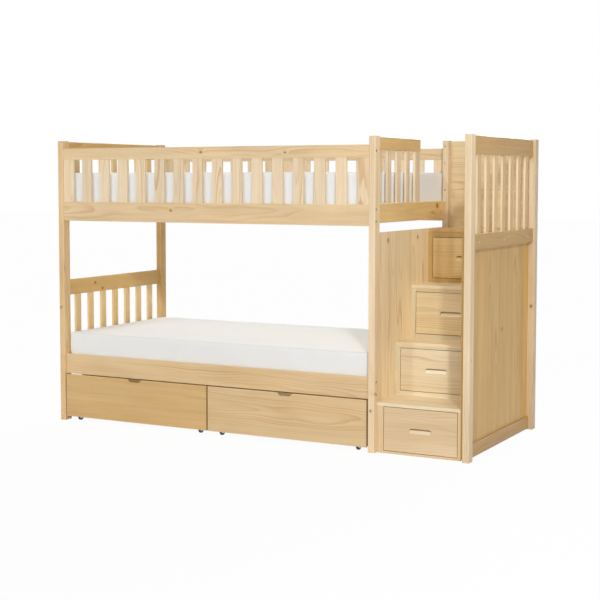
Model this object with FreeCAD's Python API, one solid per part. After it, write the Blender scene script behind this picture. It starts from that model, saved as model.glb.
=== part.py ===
import FreeCAD, Part
import os

# Twin-over-twin bunk bed with a stair of four drawers at one end and two
# rolling drawers under the lower bunk. Millimetres, +Z up. The pieces are laid
# out with X from the bed's outer left end, Y from the front faces of the posts
# and Z from the floor, and each is moved at the end so that the origin lies at
# the centre of the footprint on the floor.

os.makedirs("parts", exist_ok=True)
Vec = FreeCAD.Vector
X_DIR, Y_DIR, Z_DIR = Vec(1, 0, 0), Vec(0, 1, 0), Vec(0, 0, 1)

# ---- overall sizes ----------------------------------------------------------
BED_LENGTH = 2045.0          # over the bed's four corner posts
BED_WIDTH = 1085.0           # front faces of the posts to their back faces
STAIR_LENGTH = 522.0         # from the bed's posts to the tower's outer face

# ---- posts and boards -------------------------------------------------------
POST_X = 36.0
POST_Y = 60.0
TOWER_POST_Y = 58.0
POST_ROUND = 3.0
BOARD_ROUND = 2.0
ROUND_SHARE = 0.3            # largest rounding over a board's thickness
PARALLEL = 0.99              # cosine above which an edge runs along its board
SLAT_ROUND = 2.0
TENON = 12.0                 # how far a slat's end goes into its rail

# ---- side rails and guards --------------------------------------------------
RAIL_T = 22.0
SIDE_RAIL_H = 111.0          # upper bunk's side rails
LOWER_RAIL_H = 116.0
LOWER_RAIL_Z = 280.0         # underside of the lower bunk's side rails
UPPER_RAIL_RISE = 36.0       # underside of the upper side rails over the landing
LOWER_INSET = 15.0           # lower side rails behind the post faces
UPPER_INSET = 5.0            # upper side rails and guards behind the post faces
GUARD_GAP = 245.0            # upper side rail to guard top rail
GUARD_TOP_H = 66.0
GUARD_TOP_DROP = 44.0        # top of the posts above the guard's top rail
GUARD_SLATS = 14
GUARD_SLAT_W = 63.0
GUARD_SLAT_T = 16.0
GUARD_STILE_W = 70.0

# ---- end panels -------------------------------------------------------------
END_T = 20.0
END_SLATS = 7
END_SLAT_W = 51.0
END_SLAT_T = 13.0
END_SLAT_BACK = 2.0          # slat faces behind the rails' inner faces
END_RAIL_H = 102.0
END_RAIL_RISE = 14.0         # upper end rails' undersides above the side rails'
UPPER_END_TOP_H = 94.0
UPPER_END_TOP_DROP = 3.0     # top of the posts above the end panels
LOWER_END_Z = 299.0          # underside of the lower bunk's end panel
LOWER_END_TOP_H = 91.0
LOWER_END_TOP = 832.0        # top of the lower bunk's end panel

# ---- stair-side guard of the upper bunk -------------------------------------
STAIR_GUARD_LENGTH = 580.0   # from the front post to the entry
STAIR_GUARD_TOP_H = 66.0
STAIR_GUARD_STILE_W = 66.0
STAIR_GUARD_STILE_T = 16.0
STAIR_GUARD_SLATS = 3

# ---- decks and mattresses ---------------------------------------------------
DECK_DROP = 32.0             # deck surface below the side rails' top edges
DECK_SLATS = 13
DECK_SLAT_W = 70.0
DECK_SLAT_T = 18.0
DECK_SLAT_PLAY = 3.0         # slat ends to the lower side rails
CLEAT = 25.0
CLEAT_UPPER_W = 34.0
UPPER_MATTRESS_H = 203.0
LOWER_MATTRESS_H = 159.0
MATTRESS_PLAY = 2.0          # mattress to the faces beside it
MATTRESS_ROUND = 12.0
SEAT_GAP = 0.3               # clearance of anything that only rests or slides
OVERCUT = 1.0                # how far a cut runs past the wood

# ---- stair ------------------------------------------------------------------
PANEL_T = 22.0               # tower side panel
INNER_PANEL_T = 20.0         # panel between the bed's stair-side posts
BACK_PANEL_T = 19.0
PANEL_FOOT = 6.0             # panels clear of the floor
BACK_PANEL_DROP = 3.0        # back panel's top below the tower posts' tops
TREAD_T = 18.0
RISER_T = 18.0
FIRST_RISER_Y = 32.0         # first riser behind the post faces
GOINGS = (284.0, 210.0, 240.0)          # riser to riser
TOP_RAILS = (0.0, 12.0, 18.0, 29.0)     # riser frames' top rails
FIRST_BOTTOM_RAIL = 13.0
BOTTOM_RAIL = 23.0
FIRST_STILE_W = 39.0         # beside the bed's post
STILE_W = 26.0               # left stiles of the other risers
FIRST_RIGHT_STILE_W = 14.0
TREAD_CLEAT = 20.0

# ---- stair drawers ----------------------------------------------------------
FRONT_H = 228.0
FRONT_T = 18.0
FRONT_GAP = 3.0              # around each drawer front
BOX_SIDE_T = 12.0
BOX_BOTTOM_T = 6.0
BOX_INSET = 4.0              # box sides behind the ends of the front
BOX_LIFT = 12.0              # box above the front's lower edge
BOX_DROP = 36.0              # box below the front's upper edge
BOX_REAR_GAP = 12.0
BOTTOM_LIFT = 8.0            # bottom panel above the box sides' lower edges
RUNNER_H = 20.0
RUNNER_LAP = 12.0            # how far a runner reaches under its box side
RUNNER_START = 1.0           # drawer front's back to the runner, which stops it
DRAWER_ROUND = 1.0           # edges of a stair drawer's front
SLOT_W = 125.0
SLOT_H = 26.0
SLOT_DEPTH = 14.0
SLOT_BACK_H = 9.0            # slot height at its deepest

# ---- tower side -------------------------------------------------------------
TOWER_RAIL_T = 22.0
TOWER_TOP_H = 94.0
TOWER_SLATS = 7
TOWER_SLAT_W = 52.0
TOWER_SLAT_T = 12.0
TOWER_SLAT_BACK = 2.0        # slat faces behind the top rail's face
TOWER_MID_T = 27.0
TOWER_MID_H = 78.0
TOWER_MID_RISE = 2.0         # mid rail's top edge above the landing
TOWER_FOOT_Z = 5.0
TOWER_FOOT_H = 70.0
TOWER_FOOT_T = 12.0

# ---- drawers under the lower bunk -------------------------------------------
BED_DRAWER_GAP = 10.0        # posts to drawers and between the two drawers
BED_DRAWER_Z = 26.0
BED_DRAWER_H = 250.0
BED_FRONT_T = 18.0
BED_SIDE_T = 15.0
BED_SIDE_DROP = 20.0         # sides below the front's upper edge
BED_SIDE_INSET = 10.0
BED_BOTTOM_T = 9.0
BED_DRAWER_REAR_GAP = 95.0   # drawer's back to the back of the bed
NOTCH_TOP_W = 96.0
NOTCH_BOTTOM_W = 62.0
NOTCH_H = 16.0
NOTCH_DEPTH = 13.0           # into the front board, which stays whole behind it

# ---- casters ----------------------------------------------------------------
WHEEL_R = 20.0
WHEEL_W = 14.0
WHEEL_PLAY = 0.6             # wheel to the bracket's cheeks
WHEEL_ROUND = 2.0
AXLE_R = 3.0
AXLE_RUNNING = 0.05          # radial clearance in the wheel's bore
AXLE_PROUD = 1.0             # axle ends beyond the bracket's cheeks
BRACKET_T = 2.0
BRACKET_HALF = 15.0          # half the bracket's length along Y
BRACKET_CLEAR = 4.0          # wheel's top to the bracket's plate
BRACKET_FOOT_Z = 13.0
CASTER_X = 65.0              # wheel centre to the end of the drawer
CASTER_Y = 50.0              # wheel axis to the drawer's front or back

# ---- fasteners --------------------------------------------------------------
BOLT_R = 3.0
BOLT_HOLE_R = 3.2
BOLT_HEAD_R = 6.0
BOLT_HEAD_T = 5.0
BOLT_SINK = 6.0
BOLT_SINK_R = 7.0
BOLT_EDGE = 25.0             # bolt to the edge of its rail
BOLT_REACH = 40.0            # end of a rail to the barrel nut's axis
BOLT_TAIL = 5.0
NUT_R = 5.0
NUT_PLAY = 0.1
NUT_L = 16.0
DOWEL_R = 4.0
DOWEL_HALF = 22.0
DOWEL_EDGE = 22.0            # dowel to the edge of its rail
SCREW_R = 2.0
SCREW_HEAD_R = 4.5
SCREW_HEAD_T = 2.5
SCREW_L = 40.0
SCREW_EDGE = 92.0            # first and last screws to the tower posts
SCREW_DROP = 5.0             # screws below the middle of the mid rail
MID_SCREWS = 3
SPARE_HOLE_R = 4.0
SPARE_HOLE_DEPTH = 20.0
SPARE_HOLE_X = 15.0          # holes to the edge of the post on the bed's side
SPARE_HOLE_DROPS = (32.0, 130.5, 286.0)  # holes below the post's top

# ---- places worked out from the sizes ---------------------------------------
BED_X0, BED_X1 = POST_X, BED_LENGTH - POST_X          # between the posts
PANEL_X1 = BED_LENGTH + STAIR_LENGTH - POST_X          # tower panel's outer face
PANEL_X0 = PANEL_X1 - PANEL_T
INNER_X = BED_X1 + INNER_PANEL_T                       # inner panel's stair face
TOTAL_LENGTH = BED_LENGTH + STAIR_LENGTH
BACK_PANEL_Y = BED_WIDTH - BACK_PANEL_T

RISER_YS = [FIRST_RISER_Y]
for going in GOINGS:
    RISER_YS.append(RISER_YS[-1] + going)

FRONT_ZS, STEP_TOPS = [], []
level = 0.0
for step, top_rail in enumerate(TOP_RAILS):
    bottom_rail = BOTTOM_RAIL if step else FIRST_BOTTOM_RAIL
    FRONT_ZS.append(level + bottom_rail + FRONT_GAP)
    level = FRONT_ZS[-1] + FRONT_H + FRONT_GAP + top_rail + TREAD_T
    STEP_TOPS.append(level)
LANDING_Z = STEP_TOPS[-1]

FIRST_FRONT_X = BED_LENGTH + FIRST_STILE_W + FRONT_GAP
FRONT_W = PANEL_X0 - FIRST_RIGHT_STILE_W - FRONT_GAP - FIRST_FRONT_X
FRONT_XS = [FIRST_FRONT_X] + [INNER_X + STILE_W + FRONT_GAP] * len(GOINGS)
BOX_DEPTH = BACK_PANEL_Y - RISER_YS[-1] - FRONT_T - BOX_REAR_GAP

UPPER_RAIL_Z = LANDING_Z + UPPER_RAIL_RISE
UPPER_RAIL_TOP = UPPER_RAIL_Z + SIDE_RAIL_H
LOWER_RAIL_TOP = LOWER_RAIL_Z + LOWER_RAIL_H
GUARD_TOP_Z = UPPER_RAIL_TOP + GUARD_GAP
POST_TOP = GUARD_TOP_Z + GUARD_TOP_H + GUARD_TOP_DROP
END_TOP = POST_TOP - UPPER_END_TOP_DROP
UPPER_DECK_Z = UPPER_RAIL_TOP - DECK_DROP
LOWER_DECK_Z = LOWER_RAIL_TOP - DECK_DROP

SIDES = ("front", "back")
ORIGIN_SHIFT = Vec(-TOTAL_LENGTH / 2, -BED_WIDTH / 2, 0)


# ---- helpers ----------------------------------------------------------------
def box(x0, x1, y0, y1, z0, z1):
    return Part.makeBox(x1 - x0, y1 - y0, z1 - z0, Vec(x0, y0, z0))


def board(x0, x1, y0, y1, z0, z1, radius=BOARD_ROUND):
    """A box whose four longest edges are rounded over."""
    solid = box(x0, x1, y0, y1, z0, z1)
    sizes = (x1 - x0, y1 - y0, z1 - z0)
    run = (X_DIR, Y_DIR, Z_DIR)[sizes.index(max(sizes))]
    edges = []
    for edge in solid.Edges:
        start, end = (vertex.Point for vertex in edge.Vertexes)
        if abs((end - start).normalize().dot(run)) > PARALLEL:
            edges.append(edge)
    return solid.makeFillet(min(radius, ROUND_SHARE * min(sizes)), edges)


def rod(radius, start, direction, length):
    return Part.makeCylinder(radius, length, start, direction)


def cut(solid, tools):
    return solid.cut(list(tools)) if tools else solid


def in_back(solid):
    """The same piece mirrored to the back half of the bed."""
    return solid.mirror(Vec(0, BED_WIDTH / 2, 0), Y_DIR)


def placed(side, solids):
    return [in_back(solid) for solid in solids] if side == "back" else list(solids)


def evenly(start, end, count, width):
    """Starts of equal pieces with equal gaps before, between and after them."""
    gap = (end - start - count * width) / (count + 1)
    return [start + gap + i * (width + gap) for i in range(count)]


def save(name, solids):
    """Write one node: a single solid or a group of separate ones."""
    solids = solids if isinstance(solids, list) else [solids]
    pieces = [piece for shape in solids for piece in shape.Solids]
    for piece in pieces:
        if not piece.isValid() or piece.Volume <= 0:
            raise ValueError("bad solid in " + name)
    node = pieces[0] if len(pieces) == 1 else Part.makeCompound(pieces)
    node.translate(ORIGIN_SHIFT)
    node.exportStep("parts/" + name + ".step")


# ---- fasteners --------------------------------------------------------------
def rail_bolts():
    """Axis heights and depth of the bolts at each end of every bolted rail."""
    bolts = []
    for rail_z, height, inset in (
        (LOWER_RAIL_Z, LOWER_RAIL_H, LOWER_INSET),
        (UPPER_RAIL_Z, SIDE_RAIL_H, UPPER_INSET),
    ):
        for z in (rail_z + BOLT_EDGE, rail_z + height - BOLT_EDGE):
            bolts.append((inset + RAIL_T / 2, z))
    bolts.append((UPPER_INSET + RAIL_T / 2, GUARD_TOP_Z + GUARD_TOP_H / 2))
    return bolts


BOLTS = rail_bolts()
BOLT_LENGTH = POST_X - BOLT_SINK + BOLT_REACH + BOLT_TAIL


def bolt_end(end):
    """Outer post face and the direction into the bed at one end."""
    return (0.0, X_DIR) if end == "left" else (BED_LENGTH, -X_DIR)


def bolt_holes(end):
    """Clearance hole and head recess of each bolt, front half of the bed."""
    x, inward = bolt_end(end)
    depth = BOLT_SINK + BOLT_LENGTH + OVERCUT
    tools = []
    for y, z in BOLTS:
        tools.append(rod(BOLT_SINK_R, Vec(x, y, z), inward, BOLT_SINK))
        tools.append(rod(BOLT_HOLE_R, Vec(x, y, z), inward, depth))
    return tools


def nut_place(end, y, z):
    x, inward = bolt_end(end)
    return Vec(x, y - NUT_L / 2, z) + inward * (POST_X + BOLT_REACH)


def nut_pockets(end):
    """Holes for the barrel nuts, open at the rails' inner faces."""
    depth = NUT_L / 2 + RAIL_T / 2 + OVERCUT
    tools = []
    for y, z in BOLTS:
        tools.append(rod(NUT_R + NUT_PLAY, nut_place(end, y, z), Y_DIR, depth))
    return tools


def make_bolts():
    bolts, nuts = [], []
    for end in ("left", "right"):
        x, inward = bolt_end(end)
        for y, z in BOLTS:
            seat = Vec(x, y, z) + inward * BOLT_SINK
            shank = rod(BOLT_R, seat, inward, BOLT_LENGTH)
            head = rod(BOLT_HEAD_R, seat - inward * BOLT_HEAD_T, inward, BOLT_HEAD_T)
            bolts.append(head.fuse(shank).removeSplitter())
            nut = rod(NUT_R, nut_place(end, y, z), Y_DIR, NUT_L)
            nuts.append(nut.cut(rod(BOLT_R, seat, inward, 2 * BOLT_LENGTH)))
    save("rail_bolts", bolts + placed("back", bolts))
    save("barrel_nuts", nuts + placed("back", nuts))


def end_rails():
    """Rails doweled between two posts: X of their mid plane, and Z of each dowel."""
    left_x = END_T / 2
    right_x = BED_X1 + END_T / 2
    tower_x = PANEL_X1 + TOWER_RAIL_T / 2
    mid_x = PANEL_X1 + TOWER_MID_T / 2
    upper_end_z = UPPER_RAIL_Z + END_RAIL_RISE
    rails = (
        (left_x, LOWER_END_Z, END_RAIL_H),
        (left_x, LOWER_END_TOP - LOWER_END_TOP_H, LOWER_END_TOP_H),
        (left_x, upper_end_z, END_RAIL_H),
        (left_x, END_TOP - UPPER_END_TOP_H, UPPER_END_TOP_H),
        (right_x, upper_end_z, END_RAIL_H),
        (tower_x, END_TOP - TOWER_TOP_H, TOWER_TOP_H),
        (mid_x, LANDING_Z + TOWER_MID_RISE - TOWER_MID_H, TOWER_MID_H),
    )
    return rails


def dowel_axes():
    """Start point of each dowel along +Y, centred on a rail end."""
    axes = []
    for x, z0, height in end_rails():
        post_y = TOWER_POST_Y if x > BED_LENGTH else POST_Y
        for joint_y in (post_y, BED_WIDTH - post_y):
            for z in (z0 + DOWEL_EDGE, z0 + height - DOWEL_EDGE):
                axes.append(Vec(x, joint_y - DOWEL_HALF, z))
    guard_z = END_TOP - STAIR_GUARD_TOP_H / 2
    axes.append(Vec(BED_X1 + END_T / 2, POST_Y - DOWEL_HALF, guard_z))
    return axes


DOWELS = [rod(DOWEL_R, start, Y_DIR, 2 * DOWEL_HALF) for start in dowel_axes()]


def dowel_holes(solid):
    """The dowels that reach into a piece, as cutting tools."""
    reach = solid.BoundBox
    return [dowel for dowel in DOWELS if dowel.BoundBox.intersect(reach)]


def mid_screw_places():
    """Heads of the screws that hold the tower's mid rail to the panel."""
    z = LANDING_Z + TOWER_MID_RISE - TOWER_MID_H / 2 - SCREW_DROP
    first = TOWER_POST_Y + SCREW_EDGE
    last = BED_WIDTH - first
    pitch = (last - first) / (MID_SCREWS - 1)
    return [Vec(PANEL_X1 + TOWER_MID_T, first + i * pitch, z) for i in range(MID_SCREWS)]


def screw(place, inward):
    """A screw with its head flush at place, pointing inward."""
    head = rod(SCREW_HEAD_R, place, inward, SCREW_HEAD_T)
    return head.fuse(rod(SCREW_R, place, inward, SCREW_L)).removeSplitter()


MID_SCREW_SOLIDS = [screw(place, -X_DIR) for place in mid_screw_places()]


# ---- posts ------------------------------------------------------------------
def bed_post(end):
    x0 = 0.0 if end == "left" else BED_X1
    return board(x0, x0 + POST_X, 0, POST_Y, 0, POST_TOP, POST_ROUND)


def spare_holes():
    """Blind holes in the post behind the entry, where a second short guard would be fixed."""
    x = BED_X1 + SPARE_HOLE_X
    y = BED_WIDTH - POST_Y
    return [rod(SPARE_HOLE_R, Vec(x, y, POST_TOP - drop), Y_DIR, SPARE_HOLE_DEPTH)
            for drop in SPARE_HOLE_DROPS]


def make_posts():
    for side in SIDES:
        for end in ("left", "right"):
            post = placed(side, [cut(bed_post(end), bolt_holes(end))])[0]
            tools = dowel_holes(post)
            if (side, end) == ("back", "right"):
                tools += spare_holes()
            save("bed_post_" + side + "_" + end, cut(post, tools))
        y0 = 0.0 if side == "front" else BED_WIDTH - TOWER_POST_Y
        post = board(PANEL_X1, TOTAL_LENGTH, y0, y0 + TOWER_POST_Y, 0, POST_TOP, POST_ROUND)
        save("tower_post_" + side, cut(post, dowel_holes(post)))


# ---- side rails and guards --------------------------------------------------
def side_rail(z0, height, inset):
    rail = board(BED_X0, BED_X1, inset, inset + RAIL_T, z0, z0 + height)
    tools = []
    for end in ("left", "right"):
        tools += bolt_holes(end) + nut_pockets(end)
    reach = rail.BoundBox
    return cut(rail, [tool for tool in tools if tool.BoundBox.intersect(reach)])


def guard_uprights():
    """End stiles and slats, with the tenons that enter the two rails."""
    y0 = UPPER_INSET + (RAIL_T - GUARD_SLAT_T) / 2
    y1 = y0 + GUARD_SLAT_T
    z0, z1 = UPPER_RAIL_TOP - TENON, GUARD_TOP_Z + TENON
    inner_x0, inner_x1 = BED_X0 + GUARD_STILE_W, BED_X1 - GUARD_STILE_W
    spans = [(BED_X0, inner_x0), (inner_x1, BED_X1)]
    for x in evenly(inner_x0, inner_x1, GUARD_SLATS, GUARD_SLAT_W):
        spans.append((x, x + GUARD_SLAT_W))
    return [board(x0, x1, y0, y1, z0, z1, SLAT_ROUND) for x0, x1 in spans]


def make_side_rails():
    uprights = guard_uprights()
    for side in SIDES:
        lower = side_rail(LOWER_RAIL_Z, LOWER_RAIL_H, LOWER_INSET)
        upper = side_rail(UPPER_RAIL_Z, SIDE_RAIL_H, UPPER_INSET)
        guard = side_rail(GUARD_TOP_Z, GUARD_TOP_H, UPPER_INSET)
        save("lower_side_rail_" + side, placed(side, [lower]))
        save("upper_side_rail_" + side, placed(side, [cut(upper, uprights)]))
        save("guard_top_rail_" + side, placed(side, [cut(guard, uprights)]))
        save("guard_slats_" + side, placed(side, uprights))


# ---- end panels -------------------------------------------------------------
def end_rail(x0, z0, height, thickness=END_T, post_y=POST_Y):
    rail = board(x0, x0 + thickness, post_y, BED_WIDTH - post_y, z0, z0 + height)
    return cut(rail, dowel_holes(rail))


def end_slats(x0, z0, z1, count, width, thickness, start, end):
    """Upright slats between two rails, with their tenons."""
    slats = []
    for y in evenly(start, end, count, width):
        slats.append(board(x0, x0 + thickness, y, y + width, z0 - TENON, z1 + TENON, SLAT_ROUND))
    return slats


def make_left_ends():
    slat_x = END_T - END_SLAT_BACK - END_SLAT_T
    levels = (
        (LOWER_END_Z, LOWER_END_TOP - LOWER_END_TOP_H, LOWER_END_TOP_H),
        (UPPER_RAIL_Z + END_RAIL_RISE, END_TOP - UPPER_END_TOP_H, UPPER_END_TOP_H),
    )
    all_rails, all_slats = [], []
    for bottom_z, top_z, top_h in levels:
        slats = end_slats(slat_x, bottom_z + END_RAIL_H, top_z, END_SLATS, END_SLAT_W,
                          END_SLAT_T, POST_Y, BED_WIDTH - POST_Y)
        for rail in (end_rail(0, bottom_z, END_RAIL_H), end_rail(0, top_z, top_h)):
            all_rails.append(cut(rail, slats))
        all_slats += slats
    save("left_end_rails", all_rails)
    save("left_end_slats", all_slats)


def make_stair_end():
    """Rail and short guard at the upper bunk's stair end, with the entry behind it."""
    rail_z = UPPER_RAIL_Z + END_RAIL_RISE
    top_z = END_TOP - STAIR_GUARD_TOP_H
    guard_end = POST_Y + STAIR_GUARD_LENGTH
    stile_x = BED_X1 + (END_T - STAIR_GUARD_STILE_T) / 2
    z0, z1 = rail_z + END_RAIL_H - TENON, top_z + TENON
    inner_y0, inner_y1 = POST_Y + STAIR_GUARD_STILE_W, guard_end - STAIR_GUARD_STILE_W
    uprights = end_slats(BED_X1 + (END_T - END_SLAT_T) / 2, rail_z + END_RAIL_H, top_z,
                         STAIR_GUARD_SLATS, END_SLAT_W, END_SLAT_T, inner_y0, inner_y1)
    for y0, y1 in ((POST_Y, inner_y0), (inner_y1, guard_end)):
        uprights.append(board(stile_x, stile_x + STAIR_GUARD_STILE_T, y0, y1, z0, z1, SLAT_ROUND))
    top = board(BED_X1, BED_X1 + END_T, POST_Y, guard_end, top_z, END_TOP)
    save("stair_end_rail", cut(end_rail(BED_X1, rail_z, END_RAIL_H), uprights))
    save("stair_guard_rail", cut(top, uprights + dowel_holes(top)))
    save("stair_guard_slats", uprights)


# ---- decks and mattresses ---------------------------------------------------
def make_decks():
    inner_y = LOWER_INSET + RAIL_T
    slats = []
    for deck_z in (LOWER_DECK_Z, UPPER_DECK_Z):
        for x in evenly(BED_X0, BED_X1, DECK_SLATS, DECK_SLAT_W):
            slats.append(board(x, x + DECK_SLAT_W, inner_y + DECK_SLAT_PLAY,
                               BED_WIDTH - inner_y - DECK_SLAT_PLAY,
                               deck_z - DECK_SLAT_T, deck_z, SLAT_ROUND))
    cleats = []
    for deck_z, inset, width in ((LOWER_DECK_Z, LOWER_INSET, CLEAT),
                                 (UPPER_DECK_Z, UPPER_INSET, CLEAT_UPPER_W)):
        y0 = inset + RAIL_T
        top = deck_z - DECK_SLAT_T
        cleats.append(board(BED_X0, BED_X1, y0, y0 + width, top - CLEAT, top))
    save("deck_slats", slats)
    save("deck_cleats", cleats + placed("back", cleats))


def mattress(deck_z, height, inset):
    """A mattress block with rounded edges, resting on its deck."""
    y0 = inset + RAIL_T + MATTRESS_PLAY
    block = box(BED_X0 + MATTRESS_PLAY, BED_X1 - MATTRESS_PLAY, y0, BED_WIDTH - y0,
                deck_z + SEAT_GAP, deck_z + height)
    return block.makeFillet(MATTRESS_ROUND, block.Edges)


# ---- tower side -------------------------------------------------------------
def make_tower_side():
    top_z = END_TOP - TOWER_TOP_H
    mid_top = LANDING_Z + TOWER_MID_RISE
    slat_x = PANEL_X1 + TOWER_RAIL_T - TOWER_SLAT_BACK - TOWER_SLAT_T
    slats = end_slats(slat_x, mid_top, top_z, TOWER_SLATS, TOWER_SLAT_W,
                      TOWER_SLAT_T, TOWER_POST_Y, BED_WIDTH - TOWER_POST_Y)
    top = end_rail(PANEL_X1, top_z, TOWER_TOP_H, TOWER_RAIL_T, TOWER_POST_Y)
    mid = end_rail(PANEL_X1, mid_top - TOWER_MID_H, TOWER_MID_H, TOWER_MID_T, TOWER_POST_Y)
    foot = end_rail(PANEL_X1, TOWER_FOOT_Z, TOWER_FOOT_H, TOWER_FOOT_T, TOWER_POST_Y)
    panel = box(PANEL_X0, PANEL_X1, FIRST_RISER_Y, BACK_PANEL_Y, PANEL_FOOT, LANDING_Z)
    save("tower_top_rail", cut(top, slats))
    save("tower_mid_rail", cut(mid, slats + MID_SCREW_SOLIDS))
    save("tower_foot_rail", foot)
    save("tower_slats", slats)
    save("tower_side_panel", cut(panel, MID_SCREW_SOLIDS))
    save("tower_back_panel", box(BED_LENGTH, PANEL_X1, BACK_PANEL_Y, BED_WIDTH,
                                 PANEL_FOOT, POST_TOP - BACK_PANEL_DROP))


# ---- stair ------------------------------------------------------------------
def post_blocks():
    """The bed's stair-side posts as plain blocks, to notch the stair around them."""
    return [box(BED_X1, BED_LENGTH, 0, POST_Y, 0, POST_TOP),
            box(BED_X1, BED_LENGTH, BED_WIDTH - POST_Y, BED_WIDTH, 0, POST_TOP)]


def riser_frame(step):
    """Two stiles, a bottom rail and, where there is room, a top rail."""
    y0, y1 = RISER_YS[step], RISER_YS[step] + RISER_T
    z0 = STEP_TOPS[step - 1] if step else 0.0
    z1 = STEP_TOPS[step] - TREAD_T
    open_x0 = FRONT_XS[step] - FRONT_GAP
    open_x1 = FRONT_XS[step] + FRONT_W + FRONT_GAP
    open_z0 = FRONT_ZS[step] - FRONT_GAP
    open_z1 = FRONT_ZS[step] + FRONT_H + FRONT_GAP
    left_x = INNER_X if step else BED_LENGTH
    pieces = [box(left_x, open_x0, y0, y1, z0, z1), box(open_x1, PANEL_X0, y0, y1, z0, z1),
              box(open_x0, open_x1, y0, y1, z0, open_z0)]
    if TOP_RAILS[step] > 0:
        pieces.append(box(open_x0, open_x1, y0, y1, open_z1, z1))
    return pieces


def tread(step):
    """A tread under the next riser; the last one is the landing."""
    last = step == len(GOINGS)
    y1 = BACK_PANEL_Y if last else RISER_YS[step + 1] + RISER_T
    top = STEP_TOPS[step]
    plank = board(INNER_X, PANEL_X0, RISER_YS[step], y1, top - TREAD_T, top, BOARD_ROUND)
    return cut(plank, post_blocks())


def tread_cleats(step):
    """Battens on both panels that carry the sides of one tread."""
    y0 = max(RISER_YS[step] + RISER_T, POST_Y)
    y1 = BED_WIDTH - POST_Y if step == len(GOINGS) else RISER_YS[step + 1] + RISER_T
    z1 = STEP_TOPS[step] - TREAD_T
    return [board(INNER_X, INNER_X + TREAD_CLEAT, y0, y1, z1 - TREAD_CLEAT, z1),
            board(PANEL_X0 - TREAD_CLEAT, PANEL_X0, y0, y1, z1 - TREAD_CLEAT, z1)]


def drawer_runners(step):
    """Battens on both panels that the two box sides of one drawer slide on."""
    y0 = max(RISER_YS[step] + FRONT_T + RUNNER_START, POST_Y)
    y1 = RISER_YS[step] + FRONT_T + BOX_DEPTH
    z1 = FRONT_ZS[step] + BOX_LIFT - SEAT_GAP
    left_end = FRONT_XS[step] + BOX_INSET + RUNNER_LAP
    right_end = FRONT_XS[step] + FRONT_W - BOX_INSET - RUNNER_LAP
    runners = [board(INNER_X, left_end, y0, y1, z1 - RUNNER_H, z1),
               board(right_end, PANEL_X0, y0, y1, z1 - RUNNER_H, z1)]
    return [cut(runner, post_blocks()) for runner in runners]


def make_stair():
    inner = box(BED_X1, INNER_X, POST_Y, BED_WIDTH - POST_Y, PANEL_FOOT, LANDING_Z)
    save("stair_inner_panel", inner)
    steps = range(len(STEP_TOPS))
    for step in steps:
        save("riser_frame_" + str(step + 1), riser_frame(step))
    save("stair_treads", [tread(step) for step in steps[:-1]])
    save("stair_landing", tread(steps[-1]))
    save("tread_cleats", [cleat for step in steps for cleat in tread_cleats(step)])
    save("drawer_runners", [runner for step in steps for runner in drawer_runners(step)])


# ---- stair drawers ----------------------------------------------------------
def finger_slot(x, y, z):
    """A blind slot with round ends; its floor slopes up to a low wall at the back."""
    half = SLOT_W / 2 - SLOT_H / 2
    radius = SLOT_H / 2
    arcs = [Part.Arc(Vec(x + half, y, z - radius), Vec(x + half + radius, y, z),
                     Vec(x + half, y, z + radius)),
            Part.Arc(Vec(x - half, y, z + radius), Vec(x - half - radius, y, z),
                     Vec(x - half, y, z - radius))]
    top = Part.LineSegment(Vec(x + half, y, z + radius), Vec(x - half, y, z + radius))
    floor = Part.LineSegment(Vec(x - half, y, z - radius), Vec(x + half, y, z - radius))
    outline = Part.Wire([arcs[0].toShape(), top.toShape(), arcs[1].toShape(), floor.toShape()])
    slot = Part.Face(outline).extrude(Y_DIR * SLOT_DEPTH)
    ramp = [Vec(x - SLOT_W, y, z - SLOT_H), Vec(x - SLOT_W, y, z - radius),
            Vec(x - SLOT_W, y + SLOT_DEPTH, z + radius - SLOT_BACK_H),
            Vec(x - SLOT_W, y + SLOT_DEPTH, z - SLOT_H)]
    wedge = Part.Face(Part.makePolygon(ramp + ramp[:1])).extrude(X_DIR * 2 * SLOT_W)
    return slot.cut(wedge)


def stair_drawer_front(step):
    x0, y0, z0 = FRONT_XS[step], RISER_YS[step], FRONT_ZS[step]
    front = board(x0, x0 + FRONT_W, y0, y0 + FRONT_T, z0, z0 + FRONT_H, DRAWER_ROUND)
    return front.cut(finger_slot(x0 + FRONT_W / 2, y0, z0 + FRONT_H / 2))


def open_box(x0, x1, y0, y1, z0, z1, side_t, bottom_z, bottom_t):
    """Two sides, a back and a bottom panel between them, as separate boards."""
    back_y = y1 - side_t
    return [box(x0, x0 + side_t, y0, y1, z0, z1),
            box(x1 - side_t, x1, y0, y1, z0, z1),
            box(x0 + side_t, x1 - side_t, back_y, y1, z0, z1),
            box(x0 + side_t, x1 - side_t, y0, back_y, bottom_z, bottom_z + bottom_t)]


def stair_drawer_box(step):
    x0 = FRONT_XS[step] + BOX_INSET
    x1 = FRONT_XS[step] + FRONT_W - BOX_INSET
    y0 = RISER_YS[step] + FRONT_T
    z0 = FRONT_ZS[step] + BOX_LIFT
    z1 = FRONT_ZS[step] + FRONT_H - BOX_DROP
    return open_box(x0, x1, y0, y0 + BOX_DEPTH, z0, z1, BOX_SIDE_T,
                    z0 + BOTTOM_LIFT, BOX_BOTTOM_T)


def make_stair_drawers():
    for step in range(len(STEP_TOPS)):
        save("stair_drawer_front_" + str(step + 1), stair_drawer_front(step))
        save("stair_drawer_box_" + str(step + 1), stair_drawer_box(step))


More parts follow.
